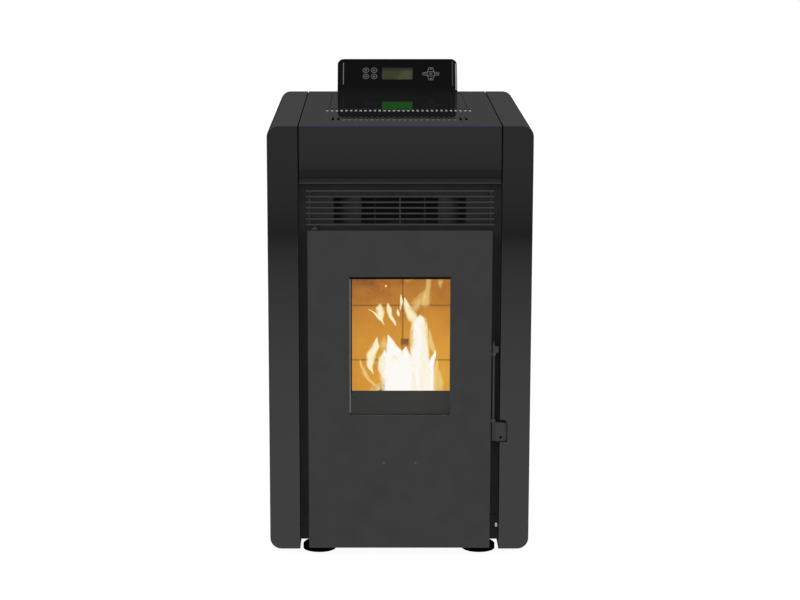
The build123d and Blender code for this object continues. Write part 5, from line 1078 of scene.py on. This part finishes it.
@dataclass
class ScrewHeads:
    """Pan-head screws with a cross recess, in place of the plain CAD ones."""

    node: str = "casing_screws"
    radius: float = 4.0 * MM
    height: float = 2.1 * MM
    recess: float = 1.2 * MM
    profile: tuple[Pair, ...] = ((1.0, 0.0), (1.0, 0.35), (0.9, 0.72), (0.62, 0.94), (0.36, 1.0))

    def places(self) -> list[tuple[Vector, float]]:
        """Seat centres of all heads with the way they face, found from the CAD screws."""
        mesh = bmesh.new()
        mesh.from_mesh(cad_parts[self.node].data)
        bmesh.ops.remove_doubles(mesh, verts=mesh.verts, dist=0.01 * MM)
        found = []
        left = set(mesh.verts)
        while left:
            island, front = set(), [next(iter(left))]
            while front:
                vert = front.pop()
                if vert in island:
                    continue
                island.add(vert)
                front += [edge.other_vert(vert) for edge in vert.link_edges]
            left -= island
            xs, ys, zs = zip(*(vert.co for vert in island))
            middle = Vector(((min(xs) + max(xs)) / 2, 0.0, (min(zs) + max(zs)) / 2))
            far = [v.co.y for v in island if (v.co - middle - Vector((0, v.co.y, 0))).length > self.radius * 0.8]
            facing = 1.0 if max(far) > (min(ys) + max(ys)) / 2 else -1.0
            middle.y = min(far) if facing > 0 else max(far)
            found.append((middle, facing))
        mesh.free()
        return sorted(found, key=lambda item: tuple(item[0]))

    def head(self) -> Mesh:
        """One head along +Z with its recess cut by two crossed bars."""
        pan, bars = bmesh.new(), bmesh.new()
        sweep(pan, [
            Matrix.Translation((0, 0, self.height * z)) @ Matrix.Diagonal((self.radius * r,) * 3 + (1.0,))
            for r, z in self.profile
        ], 24)
        for turn in (0.0, math.pi / 2):
            bar = Matrix.Rotation(turn, 4, "Z") @ Matrix.Translation((0, 0, self.height)) @ Matrix.Diagonal(
                (self.radius * 0.95, self.radius * 0.24, 2 * self.recess, 1.0))
            bmesh.ops.create_cube(bars, size=1.0, matrix=bar)
        blank = add_object("screw_blank", to_data("screw_head", pan))
        cutter = add_object("cross_cutter", to_data("cross_cutter", bars))
        cut = blank.modifiers.new("recess", "BOOLEAN")
        cut.operation = "DIFFERENCE"
        cut.solver = "EXACT"
        cut.use_self = True
        cut.object = cutter
        bpy.context.view_layer.update()
        ready = bpy.data.meshes.new_from_object(blank.evaluated_get(bpy.context.evaluated_depsgraph_get()))
        bpy.data.objects.remove(blank)
        bpy.data.objects.remove(cutter)
        return ready

    def build(self) -> None:
        """Sets a head at each place, each turned its own way."""
        ready = self.head()
        mesh = bmesh.new()
        rng = random.Random(5)
        for seat, facing in self.places():
            before = len(mesh.verts)
            mesh.from_mesh(ready)
            mesh.verts.ensure_lookup_table()
            spin = Matrix.Rotation(rng.uniform(0, math.pi), 4, "Z")
            place = Matrix.Translation(seat) @ aimed(Vector((0.0, facing, 0.0))) @ spin
            bmesh.ops.transform(mesh, matrix=place, verts=mesh.verts[before:])
        piece = finish_piece("screw_heads", mesh, ScrewSteel("screw_zinc"), Body.CASING, 35.0)
        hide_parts(self.node)


# --- painted highlight and shade at the window's edge


@dataclass
class WindowEdgeLightAndShade:
    """Strips between the window's edge and its glass: a pale painted highlight down the left, a black strip
    beside it and a black painted shadow along the top.

    Lengths are millimetres.
    """

    left: float = -88.4
    pale_width: float = 2.6
    black_width: float = 2.0
    right: float = 88.4
    foot: float = 265.0
    view_foot: float = 300.0
    top: float = 508.0
    black_height: float = 4.4
    front: float = -337.6
    back: float = -334.5

    def strip(self, name: str, boxes: list[tuple[float, ...]], finish: Finish) -> None:
        """A piece of plain strips.

        Args:
            name: the piece's name.
            boxes: x from and to, then z from and to, of each strip.
            finish: its finish.
        """
        mesh = bmesh.new()
        for x0, x1, z0, z1 in boxes:
            middle = Vector((x0 + x1, self.front + self.back, z0 + z1)) / 2 * MM
            size = Vector((x1 - x0, self.back - self.front, z1 - z0)) * MM
            bmesh.ops.create_cube(mesh, size=1.0, matrix=Matrix.LocRotScale(middle, None, size))
        finish_piece(name, mesh, finish, Body.DOOR)

    def build(self) -> None:
        """Makes the pale painted highlight and the black strips, the top one painted shadow."""
        inner, brow = self.left + self.pale_width, self.top - self.black_height
        # The pale strip is a painted highlight on the window's left edge.
        pale = Enamel("window_highlight_grey", grey(0.2), 0.4, 0.4)
        self.strip("window_highlight_strip", [(self.left, inner, self.foot, brow)], pale)
        # The black strip along the top is painted shadow under the window's upper edge.
        black = Moulding("window_black", grey(0.004), 0.7, specular=0.1)
        self.strip("window_black_strips", [
            (inner, inner + self.black_width, self.view_foot, brow), (self.left, self.right, brow, self.top),
        ], black)


# --- display


@dataclass(frozen=True)
class Mark:
    """A printed shape or a painted highlight on the display, in its own millimetres.

    at is its centre across and up, half its half sizes, sides the number of its corners and turn a turn in
    degrees before it is stretched. stroke is the width of an outline, or 0 for a filled shape, and lift the
    height above the face.
    """

    at: Pair
    half: Pair
    sides: int
    turn: float = 0.0
    stroke: float = 0.0
    lift: float = 0.0


@dataclass
class Display:
    """The leaning control display: its printed keys and marks, its painted highlights and its screen."""

    origin: Point = (1.5, 273.0, 773.0)
    lean: float = 35.3
    face: float = -0.5
    thickness: float = 0.3
    stroke: float = 1.0
    key_columns: Pair = (-63.0, -46.6)
    key_rows: Pair = (32.9, 47.0)
    key_radius: float = 6.2
    pad: Pair = (67.0, 38.9)
    pad_half: Pair = (19.0, 16.8)
    pad_width: float = 11.5

    def frame_matrix(self) -> Matrix:
        """The display's own frame: across, up the slant and out of its face, in millimetres."""
        tilt = math.radians(self.lean)
        out = Vector((0.0, -math.cos(tilt), math.sin(tilt)))
        up = Vector((0.0, math.sin(tilt), math.cos(tilt)))
        turn = Matrix((Vector((1, 0, 0)), up, out)).transposed().to_4x4()
        return Matrix.Translation(Vector(self.origin) * MM) @ turn @ Matrix.Scale(MM, 4)

    def draw(self, mesh: BMesh, mark: Mark) -> None:
        """Adds a mark as a thin raised shape."""
        place = Matrix.Translation((*mark.at, self.face + 0.02 + mark.lift))
        turned = Matrix.Diagonal((*mark.half, 1.0, 1.0)) @ Matrix.Rotation(math.radians(mark.turn), 4, "Z")
        verts = bmesh.ops.create_circle(
            mesh, cap_ends=True, segments=mark.sides, radius=1.0, matrix=place @ turned
        )["verts"]
        faces = list({face for vert in verts for face in vert.link_faces})
        if mark.stroke:
            bmesh.ops.inset_region(
                mesh, faces=faces, thickness=mark.stroke, use_even_offset=True, use_boundary=True
            )
            bmesh.ops.delete(mesh, geom=faces, context="FACES_ONLY")
            faces = list({face for vert in verts for face in vert.link_faces})
        grown = bmesh.ops.extrude_face_region(mesh, geom=faces)["geom"]
        raised = picked(grown, BMVert)
        bmesh.ops.translate(mesh, vec=(0.0, 0.0, self.thickness - 0.06), verts=raised)

    def printed(self, name: str, marks: list[Mark], ink: Moulding) -> Object:
        """A piece of marks in one colour on the leaning face: printed keys, or painted highlights."""
        mesh = bmesh.new()
        for mark in marks:
            self.draw(mesh, mark)
        bmesh.ops.transform(mesh, matrix=self.frame_matrix(), verts=mesh.verts)
        return finish_piece(name, mesh, ink, Body.CASING)

    def keys(self) -> None:
        """Outlines and marks of all keys."""
        low, high = self.key_rows
        left, right = self.key_columns
        u, v = self.pad
        outline = (self.key_radius, self.key_radius * 0.95)
        marks = [Mark((x, z), outline, 40, stroke=self.stroke) for x in self.key_columns for z in self.key_rows]
        marks += [
            Mark((left, high), (2.4, 2.4), 20, stroke=0.9),
            Mark((left, high + 2.2), (0.8, 1.9), 4, 45),
            Mark((right, high - 1.4), (3.6, 0.8), 4, 45),
            Mark((right, high + 0.6), (3.6, 0.8), 4, 45),
            Mark((left, low), (3.6, 2.4), 4, stroke=0.9),
            Mark((right, low - 0.3), (3.0, 3.2), 3, 90),
            Mark((u, v), (self.pad_half[0], self.pad_width / 2), 6, stroke=self.stroke),
            Mark((u, v), (self.pad_width * 0.72, self.pad_half[1]), 6, 90, self.stroke),
            Mark((u, v), (2.6, 2.4), 24, stroke=0.9),
            Mark((u, v + 11), (2.5, 2.5), 3, 90),
            Mark((u, v - 11), (2.5, 2.5), 3, -90),
            Mark((u - 11.5, v), (2.6, 0.9), 4, 45),
            Mark((u + 11.5, v), (2.6, 0.9), 4, 45),
        ]
        piece = self.printed("key_prints", marks, Moulding("key_ink", (0.17, 0.175, 0.18), 0.4, 0.000005))
        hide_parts("touch_keys")

    def painted_highlights(self) -> None:
        """Painted highlights: a slim pale line down the left of the face, a grey one down its right and a pale
        one on the case's rim.
        """
        # Each line is a painted highlight where the glossy face and case catch the light.
        for name, at, half, level, lift in (
            ("face_left_painted_highlight", (-107.9, 39.8), (1.2, 35.5), 0.16, 0.0),
            ("face_right_painted_highlight", (110.0, 39.8), (1.3, 40.0), 0.026, 0.55),
            ("case_rim_painted_highlight", (117.4, 32.0), (2.4, 43.0), 0.27, 0.55),
        ):
            ink = Moulding(f"{name}_ink", grey(level), 0.3, 0.000005)
            self.printed(name, [Mark(at, half, 4, 45, lift=lift)], ink)

    def screen(self) -> None:
        """Dresses the LCD module."""
        low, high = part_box("display_lcd")
        dress("display_lcd", LcdGlass("lcd_screen", tuple(low), tuple(high)).material())

    def build(self) -> None:
        """Makes the display's printed keys, its painted highlights and its screen."""
        self.keys()
        self.painted_highlights()
        self.screen()


# --- dressing of the CAD nodes


# Mirror shares up the top's front band, which paint its light and shade: a painted highlight on the hem's lower
# edge, painted shade in the cove above it and a share that grows towards the top.
TOP_PAINTED_MIRROR_BY_HEIGHT = (
    (0.6716, 0.15), (0.6724, 0.13), (0.6732, 0.042), (0.6785, 0.039), (0.6800, 0.026), (0.6812, 0.014),
    (0.6830, 0.0094), (0.6855, 0.010), (0.6890, 0.0105), (0.6925, 0.0134), (0.6945, 0.027), (0.6970, 0.037),
    (0.7050, 0.041), (0.7140, 0.045), (0.7310, 0.0485), (0.7690, 0.0525), (0.7715, 0.0425), (0.7730, 0.0425),
)

# each finish with the CAD nodes that take it
LOOKS: tuple[tuple[Finish, str], ...] = (
    (Enamel("panel_gloss", grey(0.0075), 0.5, 0.0, 0.05, 0.05), "left_side_panel right_side_panel"),
    (Enamel(
        # The blue colour between the two heights tints the reflection: a painted sheen along the top's front
        # edge.
        "top_gloss", grey(0.0115), 0.5, 0.0, 0.043, 0.02, TOP_PAINTED_MIRROR_BY_HEIGHT, (0.7700, 0.7729, (0.87, 0.95, 1.65)),
        # The zone of the slot rows, whose walls take a pale grey.
        (-0.27, -0.065, 0.7728, 0.1), peel=0.000002,
    ), "top_cover hopper_lid"),
    (Enamel("door_matt", grey(0.0425), 0.62, 0.35, mottle=0.08, peel=0.00003), "door_skin"),
    # frame_black is darkened behind the grille: painted shade under the top's lip.
    (Enamel("frame_black", grey(0.04), 0.6, 0.25, painted_shade_behind_grille=(0.168, 0.585, 0.62), lift=0.0025),
     "front_frame base_plate latch_keeper"),
    # lift on frame_black, duct_black and inner_frame_black is a painted glow for bounced light in their shaded
    # recesses.
    (Enamel("duct_black", grey(0.03), 0.6, 0.25, lift=0.0025), "exchanger air_riser"),
    (Enamel("inner_frame_black", grey(0.005), 0.8, 0.1, peel=0.000002, lift=0.012), "door_frame"),
    (Enamel("grille_black", grey(0.031), 0.45, 0.4), "air_grille"),
    (Enamel("latch_grey", grey(0.064), 0.5, 0.4), "latch_rod latch_cam latch_brackets"),
    (Enamel("grip_grey", grey(0.04), 0.5, 0.4), "latch_grip"),
    (Galvanised("galvanised_sheet"),
     "rear_panel hopper exhaust_duct exhaust_fan_housing air_inlet_pipe room_fan_housing room_fan_rotor"),
    (TraySheet("tray_pale"), "slot_tray"),
    (SheetMetal("bare_steel", grey(0.42), 0.42, 0.35),
     "auger_tube auger_screw exhaust_impeller flue_spigot glass_clips"),
    (Enamel("dark_fitting", grey(0.05), 0.4, 0.3), "hinge_brackets"),
    (Enamel("rivet_grey", (0.1, 0.103, 0.112), 0.4, 0.3, mottle=0.0, dust=0.0), "badge_rivets"),
    (SheetMetal("heated_steel", grey(0.3), 0.5, 0.8), "firebox igniter ash_pan"),
    (SheetMetal("zinc_plate", (0.72, 0.74, 0.76), 0.28),
     "foot_studs foot_nuts lid_hinges hopper_grate casing_screws"),
    (Casting("cast_iron"), "burn_pot"),
    # Both FireBoard finishes give painted firelight as a glow.
    (FireBoard("lining_board"), "back_lining side_linings baffle"),
    (FireBoard("painted_firelight_steel", bricks=False, glow=0.6), "pellet_chute burn_pot_holder"),
    (Moulding("display_case", grey(0.003), 0.16, 0.000004, 500.0, 0.05), "display_housing"),
    (Moulding("display_glass", grey(0.0032), 0.06, 0.000001, 300.0, 0.04), "display_face"),
    (Moulding("black_plastic", grey(0.014), 0.55), "power_inlet rocker_switch touch_keys"),
    (Moulding("foot_rubber", grey(0.0018), 0.8, 0.00006, 500.0, 0.02), "feet"),
    (Moulding("seal_rubber", grey(0.016), 0.7, 0.00005), "lid_seal"),
    (RopeYarn("glass_tape", pitch=700.0), "glass_gasket door_gasket"),
    (Enamel("motor_black", grey(0.02), 0.4), "auger_gearmotor exhaust_motor room_fan_motor"),
    (SolderMask(), "control_board"),
    (Pane(), "door_glass"),
)


def dress_all() -> None:
    """Puts the finishes on all CAD nodes."""
    for finish, nodes in LOOKS:
        material = finish.material()
        for node in nodes.split():
            dress(node, material)
        LOG.info("%s on %s", finish.name, nodes)


# --- studio


@dataclass(frozen=True)
class FloorPaint(Finish):
    """White where the camera sees it; in reflections its glow is painted light that falls off with distance, with
    a painted shadow ring about 3.9 m out.
    """

    name: str = "studio_floor"
    lift: float = 0.95
    reach: Point = (10.0, 10.0, 10.0)

    def shader(self, box: Paintbox) -> NodeSocket:
        """Makes the paint with its own light."""
        # Painted light and shadow for reflected rays: the glow falls off with distance from the stove and drops
        # to black in a ring about 3.9 m out.
        painted_reflected_light = box.ramp(
            box.near((0.0, 0.0, 0.0), self.reach), (0.07, grey(0.88)), (0.173, grey(0.78)), (0.273, grey(0.55)),
            (0.34, grey(0.37)), (0.372, grey(0.25)), (0.387, grey(0.0)), (0.405, grey(0.14)),
            (0.476, grey(0.25)), (0.588, grey(0.31)), (0.8, grey(0.34)),
        )
        seen = box.math("MAXIMUM", box.direct(), box.all_of(painted_reflected_light, box.mirrored()))
        pale = box.node("ShaderNodeBsdfDiffuse", {"Color": grey(0.12)}).outputs[0]
        glow = box.glow(grey(1.0), box.all_of(seen, self.lift))
        return box.node("ShaderNodeAddShader", {0: pale, 1: glow}).outputs[0]


@dataclass
class Studio:
    """White studio: camera, soft lamps, world and a pale floor."""

    camera_at: Point = (-0.0446, -4.072, 1.1955)
    pitch: float = 11.04
    lens: float = 98.07
    shift: float = 0.0321
    sky: float = 0.55
    floor_radius: float = 30.0
    lamp_size: float = 2.4
    lamps: tuple[tuple[str, Point, float, float], ...] = (
        ("key_lamp", (-2.4, -3.4, 2.9), 0.4, 62.0),
        ("fill_lamp", (2.8, -3.0, 2.2), 0.4, 38.0),
        ("back_lamp", (0.6, 3.4, 2.8), 0.5, 40.0),
    )

    def camera(self) -> None:
        """The photograph's camera."""
        data = bpy.data.cameras.new("camera")
        data.sensor_width = 36.0
        data.lens = self.lens
        data.shift_x = self.shift
        data.clip_end = 100.0
        holder = add_object("camera", data)
        holder.location = self.camera_at
        holder.rotation_euler = (math.radians(90.0 - self.pitch), 0.0, 0.0)
        bpy.context.scene.camera = holder

    def light(self) -> None:
        """Square soft lamps, each aimed at a height on the stove's axis."""
        for name, at, height, power in self.lamps:
            data = bpy.data.lights.new(name, "AREA")
            data.size = self.lamp_size
            data.energy = power
            holder = add_object(name, data)
            holder.location = at
            holder.rotation_euler = (Vector((0.0, 0.0, height)) - Vector(at)).to_track_quat("-Z", "Y").to_euler()
            holder.visible_camera = False
            holder.visible_glossy = False

    def world(self) -> None:
        """White where it is seen, a plain grey light elsewhere."""
        world = bpy.data.worlds.new("studio")
        box = Paintbox(world)
        power = box.level(box.math("MAXIMUM", box.direct(), box.mirrored()), self.sky, 1.0)
        sky = box.node("ShaderNodeBackground", {"Color": grey(1.0), "Strength": power}).outputs[0]
        box.close(sky, "ShaderNodeOutputWorld")
        bpy.context.scene.world = world

    def floor(self) -> None:
        """A wide pale floor."""
        mesh = bmesh.new()
        bmesh.ops.create_circle(mesh, cap_ends=True, segments=64, radius=self.floor_radius)
        data = to_data("floor", mesh)
        data.materials.append(FloorPaint().material())
        floor = add_object("floor", data)

    def build(self) -> None:
        """Sets the studio up."""
        bpy.context.scene.view_settings.view_transform = "Standard"
        self.camera()
        self.light()
        self.world()
        self.floor()


def main() -> None:
    """Builds every class in order."""
    logging.basicConfig(level=logging.INFO, format="%(name)s: %(message)s")
    Studio().build()
    dress_all()
    for part in (Fire, PelletStore, RopeGasket, ScrewHeads, WindowEdgeLightAndShade, Display):
        part().build()


if __name__ == "__main__":
    main()
